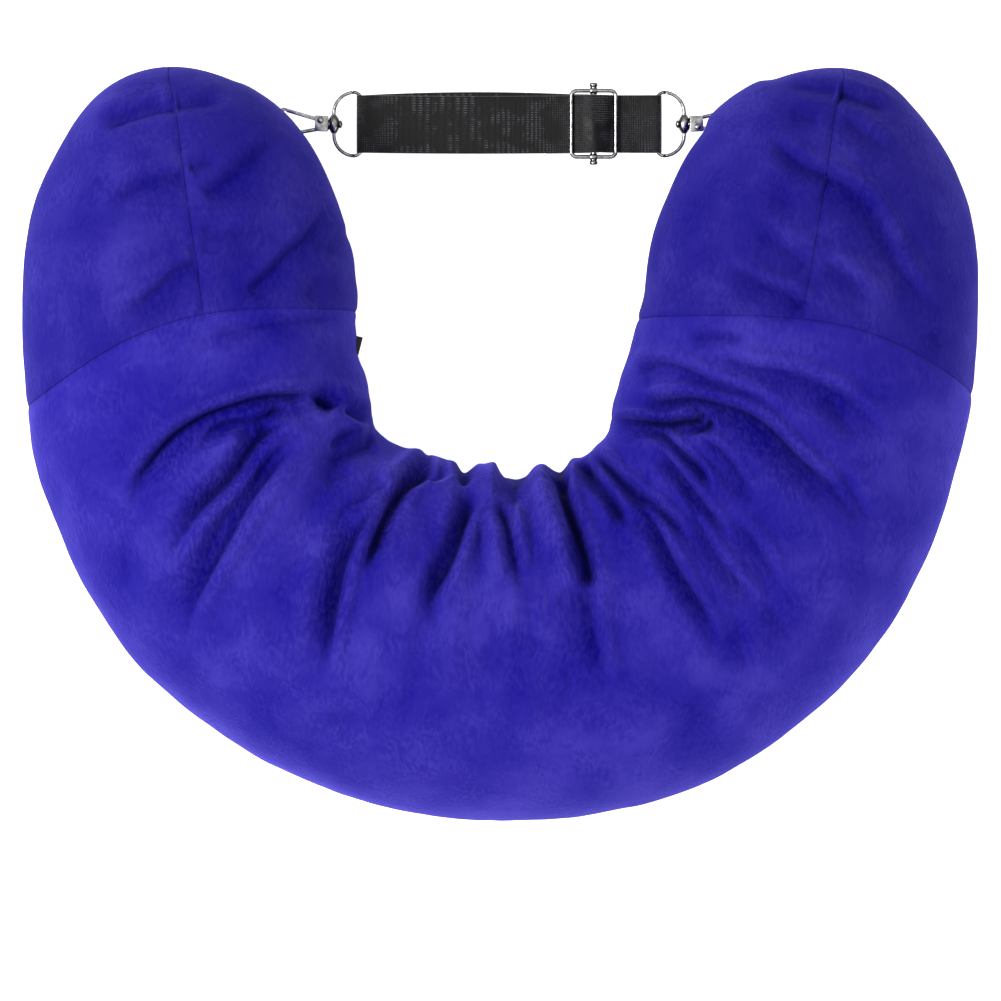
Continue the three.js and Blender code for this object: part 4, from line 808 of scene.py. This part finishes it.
def make_hook(side, end, material):
    """Swivel hook: head, post, folded bracket with its rivets, and the bent wire."""
    bm = bmesh.new()
    along = Matrix.Rotation(math.pi / 2, 4, "Y")
    turned(bm, HEAD_PROFILE, Matrix.Translation((-BOSS_HALF - CLEAR - HEAD_FROM_BOSS, 0, 0)) @ along)
    wire(bm, [(x, 0) for x in np.linspace(-BOSS_HALF - CLEAR - 0.4, BRACKET_FROM + 0.4, 6)], POST_WIRE / 2)
    turned(bm, COLLAR_PROFILE, Matrix.Translation((BRACKET_FROM - COLLAR_FROM_BRACKET, 0, 0)) @ along)
    middle = (BRACKET_FROM + BRACKET_TO) / 2
    level = BRACKET_ROOM + BRACKET_PLATE / 2
    high = 2 * (BRACKET_ROOM + BRACKET_PLATE)
    for up in (-1, 1):
        block(bm, (middle, 0, up * level), (BRACKET_TO - BRACKET_FROM, 2 * BRACKET_HALF, BRACKET_PLATE))
        flip = Matrix.Rotation(0 if up > 0 else math.pi, 4, "X")
        turned(bm, RIVET_PROFILE, Matrix.Translation((*GATE_PIVOT, up * (high / 2 + 0.1))) @ flip)
    block(bm, (BRACKET_FROM + 0.5, 0, 0), (1, 2 * BRACKET_HALF, high - 0.04))
    block(bm, (BRACKET_FROM + 3, -2.6, 0), (5.4, 2.4, high - 0.2), 0.5)
    turned(bm, ((0, high / 2), (PIN, high / 2), (PIN, -high / 2), (0, -high / 2)),
           Matrix.Translation((*GATE_PIVOT, 0)))
    wire(bm, curve_through(HOOK_ARM, 0.8), HOOK_WIRE / 2)
    return hard_piece(bm, f"{side}_hook", BODY, material, hook_place(end))


def make_gate(side, end, material):
    """Spring gate: a flat strip with a rolled eye on the hook's rivet."""
    bm = bmesh.new()
    start = PIN + PIN_SLACK + 0.3
    block(bm, ((start + GATE_LONG) / 2, 0, 0), (GATE_LONG - start, GATE_WIDE, GATE_THICK), 0.3)
    for vert in bm.verts:
        if vert.co.x > GATE_LONG / 2 and vert.co.y < 0:
            vert.co.x -= GATE_SLANT
    half = GATE_THICK / 2
    hole = PIN + PIN_SLACK
    turned(bm, eased_ring(hole, GATE_EYE, half), Matrix())
    tilted = Matrix.Translation((*GATE_PIVOT, 0)) @ Matrix.Rotation(math.radians(GATE_TILT), 4, "Z")
    return hard_piece(bm, f"{side}_gate", f"{side}_gate", material, hook_place(end) @ tilted)


def make_slider(material):
    """Slider: a rounded frame of wire and its loose bar with a sleeve and a knob at each end."""
    x = (SLIDER_WIDE - SLIDER_WIRE) / 2
    y = (SLIDER_HIGH - SLIDER_WIRE) / 2
    corner = SLIDER_CORNER - SLIDER_WIRE / 2
    turn = np.radians(np.linspace(0, 90, 9))
    arc = np.stack([x - corner * (1 - np.sin(turn)), y - corner * (1 - np.cos(turn))], axis=1)
    quarter = np.array([*((a, y) for a in np.linspace(0, x - corner, 6)[:-1]), *arc,
                        *((x, b) for b in np.linspace(y - corner, 0, 9)[1:])])
    half = np.concatenate([quarter, (quarter * (1, -1))[-2::-1]])
    bm = bmesh.new()
    for side in (-1, 1):
        wire(bm, half * (side, 1), SLIDER_WIRE / 2)
    place = strap_place(SLIDER_X, SLIDER_LIFT)
    hard_piece(bm, "slider_frame", BODY, material, place)
    bm = bmesh.new()
    wire(bm, [(0, b) for b in np.linspace(-y + SLIDER_WIRE / 2, y - SLIDER_WIRE / 2, 12)], BAR_WIRE / 2)
    for side in (-1, 1):
        end = Matrix.Translation((0, side * y, 0))
        upright = end @ Matrix.Rotation(-side * math.pi / 2, 4, "X")
        turned(bm, KNOB_PROFILE, upright)
        hole = SLIDER_WIRE / 2 + CLEAR
        long = SLEEVE_LONG / 2
        turned(bm, eased_ring(hole, SLEEVE, long), end @ Matrix.Rotation(math.pi / 2, 4, "Y"))
    return hard_piece(bm, "slider_bar", BODY, material, place)


def wrap(x, z, radius, start, stop, count):
    """Points on an arc round a bar, in degrees."""
    turn = np.radians(np.linspace(start, stop, count + 1))
    return [(x + radius * math.cos(a), z + radius * math.sin(a)) for a in turn]


def webbing_route():
    """The strap from the side, x along it and z up from its middle: its loose end, round the slider's bar,
    back round the left ring, over the bar and round the right ring."""
    ring = RING_WIRE / 2 + CLEAR + WEBBING_THICK / 2
    bar = BAR_WIRE / 2 + CLEAR + WEBBING_THICK / 2
    left, right, mid, lift = LEFT_BAR, RIGHT_BAR, SLIDER_X, SLIDER_LIFT
    half = (SLIDER_WIDE - SLIDER_WIRE) / 2
    under = lift - SLIDER_WIRE / 2 - 1.5 * CLEAR - WEBBING_THICK / 2
    over = bar + WEBBING_THICK + CLEAR
    return [
        (mid - 24, -2.9), (mid - 17, -2.9), (mid - 12.5, -2.6), (mid - 8.5, -1.3), (mid - 4, 0.4),
        *wrap(mid, lift, bar, -110, 110, 9), (mid - 5.2, 3.2), (mid - half, under - 1.75), (mid - 15, -1.1),
        (mid - 22, -1.2), (0, -1.1), (left + 14, -1.1), (left + 6, -1.3),
        *wrap(left, 0, ring, 270, 90, 8), (left + 6, 1.3), (left + 14, 1.1), (0, 1), (mid - 22, 0.7),
        (mid - 15, 0.7), (mid - half, under), (mid - 8.2, 3), (mid - 4.6, 5.6),
        *wrap(mid, lift, over, 108, 68, 3), (mid + 5.2, 5.2), (mid + 8.6, 2.4), (mid + half, under),
        (mid + 16, 0.9), (right - 9, 1), *wrap(right, 0, ring, 100, -100, 8), (right - 6, -1.2),
        (right - 13.5, -0.9),
    ]


def tape(name, route, wide, thick, place, material, sway=None):
    """A flat tape along a route in its x-z plane, with its length and width on its UV map, in metres."""
    line = curve_through(route, TAPE_STEP)
    at = np.concatenate([[0], np.cumsum(np.linalg.norm(np.diff(line, axis=0), axis=1))])
    way = np.gradient(line, axis=0)
    bm = bmesh.new()
    uv_map = bm.loops.layers.uv.new("UVMap")
    bmesh.ops.create_grid(bm, x_segments=len(line) - 1, y_segments=TAPE_ACROSS, size=1)
    shares = {vert: ((vert.co.x + 1) / 2, vert.co.y / 2) for vert in bm.verts}
    for face in bm.faces:
        for loop in face.loops:
            along, side = shares[loop.vert]
            loop[uv_map].uv = (along * at[-1] * MM, side * wide * MM)
    for vert, (along, side) in shares.items():
        i = round(along * (len(line) - 1))
        x, z = line[i]
        shift = sway(x, way[i][0]) if sway else 0
        vert.co = (x, side * wide + shift, z)
    bmesh.ops.recalc_face_normals(bm, faces=bm.faces)
    bmesh.ops.transform(bm, verts=bm.verts, matrix=Matrix.Scale(MM, 4) @ place)
    piece = finished(bm, name, material)
    solid = piece.modifiers.new("thickness", "SOLIDIFY")
    solid.thickness = thick * MM
    solid.offset = 0
    rounded = piece.modifiers.new("edges", "BEVEL")
    rounded.width = TAPE_EDGE * thick * MM
    rounded.segments = 2
    rounded.limit_method = "ANGLE"
    rounded.angle_limit = math.radians(60)
    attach(piece, BODY)
    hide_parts(name)
    return piece, at[-1] * MM


def back_layer_sway(x, heading):
    """How far the lower layer lies towards the arms' ends, so that its edge shows above the upper one."""
    share = np.clip((x - LEFT_BAR) / (SLIDER_X - LEFT_BAR), 0, 1)
    bow = math.sin(math.pi * share)
    return BACK_SWAY * bow ** SWAY_POWER * (heading < 0) - FRONT_SWAY * bow * (heading > 0)


def make_stitches(material):
    """One row of stitches across the strap where its end is sewn down behind the right ring."""
    bm = bmesh.new()
    pitch = (WEBBING_WIDE - 2 * STITCHES_FROM_EDGE) / STITCH_COUNT
    for i in range(STITCH_COUNT):
        made = bmesh.ops.create_uvsphere(bm, u_segments=8, v_segments=6, radius=STITCH_THICK / 2)
        y = (i - (STITCH_COUNT - 1) / 2) * pitch
        place = Matrix.Translation((RIGHT_BAR - STITCHES_FROM_BAR, y, STITCHES_UP))
        shape = place @ Matrix.Diagonal((0.9, STITCH_LONG / STITCH_THICK, 0.7, 1))
        bmesh.ops.transform(bm, verts=made["verts"], matrix=shape)
    bmesh.ops.transform(bm, verts=bm.verts, matrix=Matrix.Scale(MM, 4) @ strap_place(0))
    row = finished(bm, "sewn_end_stitches", material)
    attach(row, BODY)
    return row


def make_loop(side, end, material):
    """Sewn-on loop of narrow tape in the hook's eye."""
    bend = wrap(LOOP_BOW, 0, LOOP_BEND, LOOP_RISE + 90, LOOP_RISE + 270, 8)
    rise = math.radians(LOOP_RISE)
    legs = [(x + LOOP_LONG * math.cos(rise), z + LOOP_LONG * math.sin(rise)) for x, z in (bend[0], bend[-1])]
    tape(f"{side}_loop", [legs[0], *bend, legs[1]], LOOP_WIDE, LOOP_THICK, hook_place(end), material)


# Materials
def new_material(name):
    """A material with its shader and output, and a function that adds and links its other nodes."""
    material = bpy.data.materials.new(name)
    material.use_nodes = True
    tree = material.node_tree
    shader = tree.nodes["Principled BSDF"]

    def add(kind, inputs=None, **settings):
        made = tree.nodes.new("ShaderNode" + kind)
        for key, value in settings.items():
            setattr(made, key, value)
        for key, value in (inputs or {}).items():
            if isinstance(value, bpy.types.NodeSocket):
                tree.links.new(value, made.inputs[key])
            else:
                made.inputs[key].default_value = value
        return made

    def link(socket, name_in):
        tree.links.new(socket, shader.inputs[name_in])

    return material, shader, add, link


def ramp(add, factor, stops):
    """A colour ramp with (place, colour) stops."""
    made = add("ValToRGB", {"Fac": factor})
    elements = made.color_ramp.elements
    while len(elements) < len(stops):
        elements.new(0.5)
    for element, (place, colour) in zip(elements, stops):
        element.position = place
        element.color = (*colour, 1)
    return made.outputs["Color"]


def plush_material(name, look, tone_share, sheen):
    """Short-pile plush: faint patches, fine streaks of nap by the folds, painted shade in the creases,
    painted light on the crests and painted shade in the valleys, and a velvet sheen painted weaker in creases
    and valleys.
    """
    material, shader, add, link = new_material(name)
    deep, plain, lit = (tuple(tone_share * part for part in colour)
                        for colour in (look.open_pile_and_painted_valley_colour, look.colour, look.brushed_pile_and_painted_crest_colour))
    place = add("TexCoord").outputs["Object"]
    crease = add("Attribute", attribute_name="crease").outputs["Fac"]
    nap = add("Attribute", attribute_name="nap").outputs["Fac"]
    swirl = add("TexNoise", {"Vector": place, "Scale": 24, "Detail": 2}).outputs["Color"]
    centred = add("VectorMath", {0: swirl, 1: (0.5, 0.5, 0.5)}, operation="SUBTRACT").outputs[0]
    pushed = add("VectorMath", {0: centred, "Scale": 0.018}, operation="SCALE").outputs[0]
    warped = add("VectorMath", {0: place, 1: pushed}).outputs[0]
    brushed = add("Mapping", {"Vector": warped, "Scale": (1, 0.45, 0.8), "Rotation": (0, 0, 0.25)}).outputs[0]
    streaks = add("TexNoise", {"Vector": brushed, "Scale": 560, "Detail": 1, "Roughness": 0.5}).outputs["Fac"]
    strokes = add("MapRange", {"Value": streaks, "From Min": 0.34, "From Max": 0.66}).outputs[0]
    patches = add("TexNoise", {"Vector": warped, "Scale": 30, "Detail": 3, "Roughness": 0.5}).outputs["Fac"]
    pile = add("TexNoise", {"Vector": place, "Scale": 1700, "Detail": 2, "Roughness": 0.7}).outputs["Fac"]
    clumps = add("TexNoise", {"Vector": warped, "Scale": 75, "Detail": 2}).outputs["Fac"]
    worn = add("MapRange", {"Value": clumps, "From Min": 0.4, "From Max": 0.62, "To Min": 0, "To Max": 0.4})
    rough = add("Math", {0: nap, 1: worn.outputs[0]}, operation="MAXIMUM").outputs[0]
    ruffled = add("MapRange", {"Value": rough, "From Max": 0.9, "To Min": 0.05, "To Max": 0.34}).outputs[0]
    tone = add("Mix", {"Factor": ruffled, "A": patches, "B": strokes}, data_type="FLOAT").outputs[0]
    # Painted light: crests painted lighter and valleys darker by how far the cloth rises
    rise = add("Attribute", attribute_name="rise").outputs["Fac"]
    painted_crest_tone = add("MapRange", {"Value": rise, "To Min": -look.painted_crest_light_share,
                              "To Max": look.painted_crest_light_share}).outputs[0]
    shown = add("Math", {0: tone, 1: painted_crest_tone}, operation="ADD").outputs[0]
    colour = ramp(add, shown, ((0.15, deep), (0.5, plain), (0.85, lit)))
    # Painted shade: the colour darkens towards the painted crease colour where the crease layer says shade
    # falls
    dark = add("Math", {0: crease, 1: look.painted_crease_shade}, operation="MULTIPLY").outputs[0]
    shaded = add("Mix", {"Factor": dark, "A": colour, "B": (*look.painted_crease_shade_colour, 1)}, data_type="RGBA")
    link(shaded.outputs["Result"], "Base Color")
    grain = add("Mix", {"Factor": 0.35, "A": streaks, "B": pile}, data_type="FLOAT").outputs[0]
    lifted = add("MapRange", {"Value": rough, "From Max": 0.9, "To Min": 0.3, "To Max": 0.8}).outputs[0]
    bump = add("Bump", {"Height": grain, "Strength": lifted, "Distance": 0.0014}).outputs[0]
    link(bump, "Normal")
    shader.inputs["Roughness"].default_value = 0.95
    shader.inputs["Specular IOR Level"].default_value = 0.1
    # Painted shade: the sheen is painted weaker in the creases and in the low places of the cloth
    sheen_painted_out_of_creases = add("MapRange", {"Value": crease, "From Max": 0.5, "To Min": sheen, "To Max": 0.1 * sheen})
    sheen_painted_off_valleys = add("MapRange", {"Value": rise, "From Min": 0.1, "From Max": 0.6, "To Min": 0.2})
    link(add("Math", {0: sheen_painted_out_of_creases.outputs[0], 1: sheen_painted_off_valleys.outputs[0]}, operation="MULTIPLY").outputs[0],
         "Sheen Weight")
    shader.inputs["Sheen Roughness"].default_value = 0.4
    shader.inputs["Sheen Tint"].default_value = (*look.sheen_colour, 1)
    return material


def nickel_material(look):
    """Polished nickel plate with faint waves and fine wear, its colour painted darker on the flanks and
    lighter on top as painted reflections.
    """
    material, shader, add, link = new_material("polished_nickel")
    place = add("TexCoord").outputs["Object"]
    waves = add("TexNoise", {"Vector": place, "Scale": 420, "Detail": 2}).outputs["Fac"]
    wear = add("TexNoise", {"Vector": place, "Scale": 2600, "Detail": 2}).outputs["Fac"]
    # Painted reflection: the colour is darker where a surface turns to the side and lighter where it faces up
    upright = add("SeparateXYZ", {0: add("NewGeometry").outputs["Normal"]}).outputs["Z"]
    steep = add("Math", {0: upright}, operation="ABSOLUTE").outputs[0]
    waves_and_painted_reflection = add("Mix", {"Factor": 0.22, "A": steep, "B": waves}, data_type="FLOAT").outputs[0]
    painted_reflection_tones = (tuple(share * part for part in look.nickel_colour) for share in (0.13, 0.19, 0.4, 0.95, 1.3))
    link(ramp(add, waves_and_painted_reflection, tuple(zip((0.45, 0.75, 0.82, 0.875, 0.905), painted_reflection_tones))), "Base Color")
    rough = add("MapRange", {"Value": wear, "From Min": 0.35, "From Max": 0.65, "To Min": 0.16,
                             "To Max": 0.3})
    link(rough.outputs[0], "Roughness")
    link(add("Bump", {"Height": waves, "Strength": 0.2, "Distance": 0.0003}).outputs[0], "Normal")
    shader.inputs["Metallic"].default_value = 1
    return material


def webbing_material(look):
    """Black nylon webbing: cross ribs of small bumps on its UV map, with painted glints on their knots,
    smoother in patches, and a painted highlight along its edges.
    """
    material, shader, add, link = new_material("black_ribbed_webbing")
    place = add("UVMap", uv_map="UVMap").outputs[0]
    parts = add("SeparateXYZ", {0: place})
    along, side = parts.outputs["X"], parts.outputs["Y"]

    def wave(value, period, shift=0.0):
        turn = add("Math", {0: value, 1: 2 * math.pi / period, 2: shift}, operation="MULTIPLY_ADD").outputs[0]
        return add("Math", {0: add("Math", {0: turn}, operation="SINE").outputs[0], 1: 0.5, 2: 0.5},
                   operation="MULTIPLY_ADD").outputs[0]

    ribs = wave(along, look.rib_pitch)
    picks = wave(side, look.rib_pitch * 0.9)
    knots = add("Math", {0: ribs, 1: picks}, operation="MULTIPLY").outputs[0]
    object_place = add("TexCoord").outputs["Object"]
    patches = add("TexNoise", {"Vector": object_place, "Scale": 95, "Detail": 2}).outputs["Fac"]
    fuzz = add("TexNoise", {"Vector": object_place, "Scale": 800, "Detail": 2}).outputs["Fac"]
    shown = add("MapRange", {"Value": patches, "From Min": 0.44, "From Max": 0.58, "To Min": 0.12})
    weave = add("Math", {0: knots, 1: shown.outputs[0]}, operation="MULTIPLY").outputs[0]
    # Painted glints: the knots of the weave are painted many times lighter
    painted_glint_speckles = add("Math", {0: weave, 1: fuzz}, operation="MULTIPLY").outputs[0]
    # Painted highlight: a light line painted along the tape's edges
    far = add("Math", {0: side}, operation="ABSOLUTE").outputs[0]
    start, stop = (share * WEBBING_WIDE * MM for share in PAINTED_EDGE_HIGHLIGHT)
    edge = add("MapRange", {"Value": far, "From Min": start, "From Max": stop, "To Max": 0.3}).outputs[0]
    painted_glints_and_edge_highlight = add("Math", {0: painted_glint_speckles, 1: edge}, operation="MAXIMUM").outputs[0]
    dull, plain, lit = (tuple(share * part for part in look.web_colour) for share in (0.4, 1.0, 9))
    link(ramp(add, painted_glints_and_edge_highlight, ((0.04, dull), (0.16, plain), (0.5, lit))), "Base Color")
    height = add("Mix", {"Factor": 0.2, "A": weave, "B": fuzz}, data_type="FLOAT").outputs[0]
    link(add("Bump", {"Height": height, "Strength": 0.9, "Distance": 0.0005}).outputs[0], "Normal")
    shader.inputs["Roughness"].default_value = 0.48
    shader.inputs["Specular IOR Level"].default_value = 0.22
    shader.inputs["Sheen Weight"].default_value = 0.05
    return material


def thread_material(name, colour, roughness):
    """Thread or coated cloth with a fine grain."""
    material, shader, add, link = new_material(name)
    place = add("TexCoord").outputs["Object"]
    grain = add("TexNoise", {"Vector": place, "Scale": 1600, "Detail": 3}).outputs["Fac"]
    deep, lit = (tuple(share * part for part in colour) for share in (0.5, 1.7))
    link(ramp(add, grain, ((0.35, deep), (0.65, lit))), "Base Color")
    link(add("Bump", {"Height": grain, "Strength": 0.5, "Distance": 0.0002}).outputs[0], "Normal")
    shader.inputs["Roughness"].default_value = roughness
    return material


# Settings
class PlushSettings(bpy.types.PropertyGroup):
    """Cloth and finish of the five plush panels."""
    seam_dip: FloatProperty(name="Seam Dip", description="How far a seam draws the cloth in",
                            default=0.0005, min=0, unit="LENGTH")
    seam_reach: FloatProperty(name="Seam Reach", description="How far the dip shows beside a seam",
                              default=0.0028, min=0.001, unit="LENGTH")
    seam_tuck: FloatProperty(name="Seam Tuck", description="How far the cloth turns in at the stitches",
                             default=0.0003, min=0, unit="LENGTH")
    tuck_reach: FloatProperty(name="Tuck Reach", description="Width of the turned-in edge",
                              default=0.0009, min=0.0003, unit="LENGTH")
    seam_shade: FloatProperty(name="Seam Shade", description="How dark the line of stitches is",
                              default=0.1, min=0, max=1, subtype="FACTOR")
    # Painted shade: how far the colour is darkened deep in a fold
    painted_crease_shade: FloatProperty(name="Crease Shade", description="How dark the pile is deep in a fold",
                               default=0.95, min=0, max=1, subtype="FACTOR")
    # Painted light: how much lighter the colour is painted on crests, and darker in valleys
    painted_crest_light_share: FloatProperty(name="Crest Tone",
                              description="How much lighter the pile is where the cloth rises",
                              default=0.2, min=0, max=1, subtype="FACTOR")
    roll_share: FloatProperty(name="Lip Roll", description="Sideways roll of a lip, as a share of its height",
                              default=0.6, min=0, subtype="FACTOR")
    colour: FloatVectorProperty(name="Colour", description="Colour of the pile",
                                default=(0.0185, 0.012, 0.245), subtype="COLOR", size=3, min=0, max=1)
    # Serves for pile that lies away and for the painted highlight on crests
    brushed_pile_and_painted_crest_colour: FloatVectorProperty(name="Brushed Colour", description="Colour where the pile lies away",
                                    default=(0.044, 0.033, 0.335), subtype="COLOR", size=3, min=0, max=1)
    # Serves for pile that stands open and for the painted shade in valleys
    open_pile_and_painted_valley_colour: FloatVectorProperty(name="Deep Colour", description="Colour where the pile stands open",
                                     default=(0.003, 0.001, 0.195), subtype="COLOR", size=3, min=0, max=1)
    # Painted shade: the dark colour painted deep in a fold
    painted_crease_shade_colour: FloatVectorProperty(name="Crease Colour", description="Colour deep in a fold",
                                       default=(0.0004, 0.0002, 0.03), subtype="COLOR", size=3, min=0, max=1)
    cap_tone: FloatProperty(name="Cap Tone", description="Tone of the caps, whose pile lies the other way",
                            default=0.82, min=0, soft_max=1, subtype="FACTOR")
    sheen: FloatProperty(name="Sheen", description="Velvet sheen of the middle at grazing angles",
                         default=0.45, min=0, max=1, subtype="FACTOR")
    cap_sheen: FloatProperty(name="Cap Sheen", description="Velvet sheen of the caps",
                             default=0.1, min=0, max=1, subtype="FACTOR")
    sheen_colour: FloatVectorProperty(name="Sheen Colour", description="Tint of the sheen",
                                      default=(0.2, 0.16, 1.0), subtype="COLOR", size=3, min=0, max=1)


class StrapSettings(bpy.types.PropertyGroup):
    """Finishes of the strap and its hardware."""
    rib_pitch: FloatProperty(name="Rib Pitch", description="Distance between two ribs of the webbing",
                             default=0.0013, min=0.0002, unit="LENGTH")
    web_colour: FloatVectorProperty(name="Webbing Colour", description="Colour of the webbing",
                                    default=(0.012, 0.012, 0.013), subtype="COLOR", size=3, min=0, max=1)
    # Its lighter and darker copies in the nickel's colour are painted reflections
    nickel_colour: FloatVectorProperty(name="Nickel Colour", description="Colour of the plated metal",
                                       default=(0.62, 0.61, 0.6), subtype="COLOR", size=3, min=0, max=1)
    thread_colour: FloatVectorProperty(name="Thread Colour",
                                       description="Colour of the stitches and the pull tab",
                                       default=(0.01, 0.01, 0.011), subtype="COLOR", size=3, min=0, max=1)


class StageSettings(bpy.types.PropertyGroup):
    """Floor, light and camera."""
    floor_colour: FloatVectorProperty(name="Floor Colour", description="Colour of the plain floor",
                                      default=(0.94, 0.94, 0.94), subtype="COLOR", size=3, min=0, max=1)
    floor_glow: FloatProperty(name="Floor Glow",
                              description="Light that the floor gives, as a lit table does",
                              default=0.9, min=0)
    camera_height: FloatProperty(name="Camera Height", description="Height of the camera over the floor",
                                 default=4.07, min=0.5, unit="LENGTH")
    frame_width: FloatProperty(name="Frame Width",
                               description="Width that the camera sees at the pillow's middle",
                               default=0.5005, min=0.1, unit="LENGTH")
    frame_level: FloatProperty(name="Frame Level", description="Height at which that width is measured",
                               default=0.07, min=0, unit="LENGTH")
    key_power: FloatProperty(name="Key Light", description="Power of the large light",
                             default=36, min=0, unit="POWER")
    rim_power: FloatProperty(name="Rim Light", description="Power of the low light",
                             default=16, min=0, unit="POWER")
    fill: FloatProperty(name="Room Light", description="Strength of the even light of the room",
                        default=0.6, min=0)


class NECKPILLOW_OT_panels(bpy.types.Operator):
    """Add the five plush panels of the pillow"""
    bl_idname = "neckpillow.panels"
    bl_label = "Plush Panels"

    def execute(self, context):
        look = context.scene.neck_plush
        plush = plush_material("royal_blue_plush", look, 1, look.sheen)
        cap_plush = plush_material("royal_blue_plush_brushed_down", look, look.cap_tone, look.cap_sheen)
        make_panel("gathered_middle", MIDDLE_COLUMNS, MIDDLE_ROWS, middle_place(look),
                   lambda verts: Vector(), plush)
        for side in CROSS_SEAMS:
            outwards_x = -1 if side == "left" else 1
            for half in ("outer", "inner"):
                way = outwards_x if half == "outer" else -outwards_x
                make_panel(f"{side}_cap_{half}", CAP_COLUMNS, CAP_ROWS, cap_place(side, half, look),
                           lambda verts, way=way: Vector((RIM_INWARDS * way, RIM_INWARDS, 0)), cap_plush)
        return {"FINISHED"}


class NECKPILLOW_OT_webbing(bpy.types.Operator):
    """Add the webbing of the strap, its row of stitches and the two sewn-on loops"""
    bl_idname = "neckpillow.webbing"
    bl_label = "Webbing and Loops"

    def execute(self, context):
        look = context.scene.neck_strap
        woven = webbing_material(look)
        strap, length = tape("strap_webbing", webbing_route(), WEBBING_WIDE, WEBBING_THICK,
                             strap_place(0), woven, back_layer_sway)
        stitches = make_stitches(thread_material("black_thread", look.thread_colour, 0.6))
        for side, end in ENDS.items():
            make_loop(side, end, woven)
        return {"FINISHED"}


class NECKPILLOW_OT_hardware(bpy.types.Operator):
    """Add the rings, hooks, gates and slider, and finish the end of the zip's pull"""
    bl_idname = "neckpillow.hardware"
    bl_label = "Metal Fittings"

    def execute(self, context):
        look = context.scene.neck_strap
        nickel = nickel_material(look)
        for side, end in ENDS.items():
            make_ring(side, end, nickel)
            make_hook(side, end, nickel)
            make_gate(side, end, nickel)
        make_slider(nickel)
        coated = thread_material("black_coated_pull", look.thread_colour, 0.4)
        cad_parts["zip_pull_tab"].data.materials[0] = coated
        return {"FINISHED"}


class NECKPILLOW_OT_stage(bpy.types.Operator):
    """Add the floor, the soft lights and the camera straight above"""
    bl_idname = "neckpillow.stage"
    bl_label = "Stage"

    def execute(self, context):
        stage = context.scene.neck_stage
        material, shader, _, _ = new_material("pale_floor")
        shader.inputs["Base Color"].default_value = (*stage.floor_colour, 1)
        shader.inputs["Roughness"].default_value = 0.9
        shader.inputs["Emission Color"].default_value = (1, 1, 1, 1)
        shader.inputs["Emission Strength"].default_value = stage.floor_glow
        bm = bmesh.new()
        bmesh.ops.create_grid(bm, x_segments=1, y_segments=1, size=6)
        floor = finished(bm, "floor", material)
        world = bpy.data.worlds.new("soft_room")
        world.use_nodes = True
        world.node_tree.nodes["Background"].inputs["Strength"].default_value = stage.fill
        world.node_tree.nodes["Background"].inputs["Color"].default_value = (1, 1, 1, 1)
        context.scene.world = world
        for name, place, size, power in (
            ("key", (-1.2, 0.1, 1.5), 0.7, stage.key_power),
            ("rim", (1.4, -1.1, 0.9), 0.8, stage.rim_power),
        ):
            light = bpy.data.lights.new(name, "AREA")
            light.shape = "SQUARE"
            light.size = size
            light.energy = power
            lamp = bpy.data.objects.new(name, light)
            lamp.location = place
            lamp.rotation_mode = "QUATERNION"
            lamp.rotation_quaternion = (-Vector(place)).to_track_quat("-Z", "Y")
            context.scene.collection.objects.link(lamp)
        view = bpy.data.cameras.new("camera")
        view.sensor_width = 36
        view.lens = view.sensor_width * (stage.camera_height - stage.frame_level) / stage.frame_width
        view.clip_end = 50
        camera = bpy.data.objects.new("camera", view)
        camera.location = (EYE[0] * MM, EYE[1] * MM, stage.camera_height)
        context.scene.collection.objects.link(camera)
        context.scene.camera = camera
        context.scene.view_settings.view_transform = "Standard"
        return {"FINISHED"}


class NECKPILLOW_PT_pieces(bpy.types.Panel):
    """Pieces of the neck pillow"""
    bl_label = "Neck Pillow"
    bl_idname = "NECKPILLOW_PT_pieces"
    bl_space_type = "VIEW_3D"
    bl_region_type = "UI"
    bl_category = "Neck Pillow"

    def draw(self, context):
        layout = self.layout
        for operator in OPERATORS:
            layout.operator(operator.bl_idname)
        for settings in (getattr(context.scene, name) for name in SETTINGS):
            box = layout.box()
            for name in settings.__annotations__:
                box.prop(settings, name)


OPERATORS = (NECKPILLOW_OT_stage, NECKPILLOW_OT_panels, NECKPILLOW_OT_webbing, NECKPILLOW_OT_hardware)
SETTINGS = {"neck_plush": PlushSettings, "neck_strap": StrapSettings, "neck_stage": StageSettings}
CLASSES = (*SETTINGS.values(), *OPERATORS, NECKPILLOW_PT_pieces)


def register():
    """Adds the classes and the scene's settings."""
    for cls in CLASSES:
        bpy.utils.register_class(cls)
    for name, settings in SETTINGS.items():
        setattr(bpy.types.Scene, name, PointerProperty(type=settings))


def unregister():
    """Takes the settings and the classes away again."""
    for name in SETTINGS:
        delattr(bpy.types.Scene, name)
    for cls in reversed(CLASSES):
        bpy.utils.unregister_class(cls)


def main():
    """Builds every piece and the stage."""
    register()
    for operator in OPERATORS:
        group, name = operator.bl_idname.split(".")
        getattr(getattr(bpy.ops, group), name)()


if __name__ == "__main__":
    main()
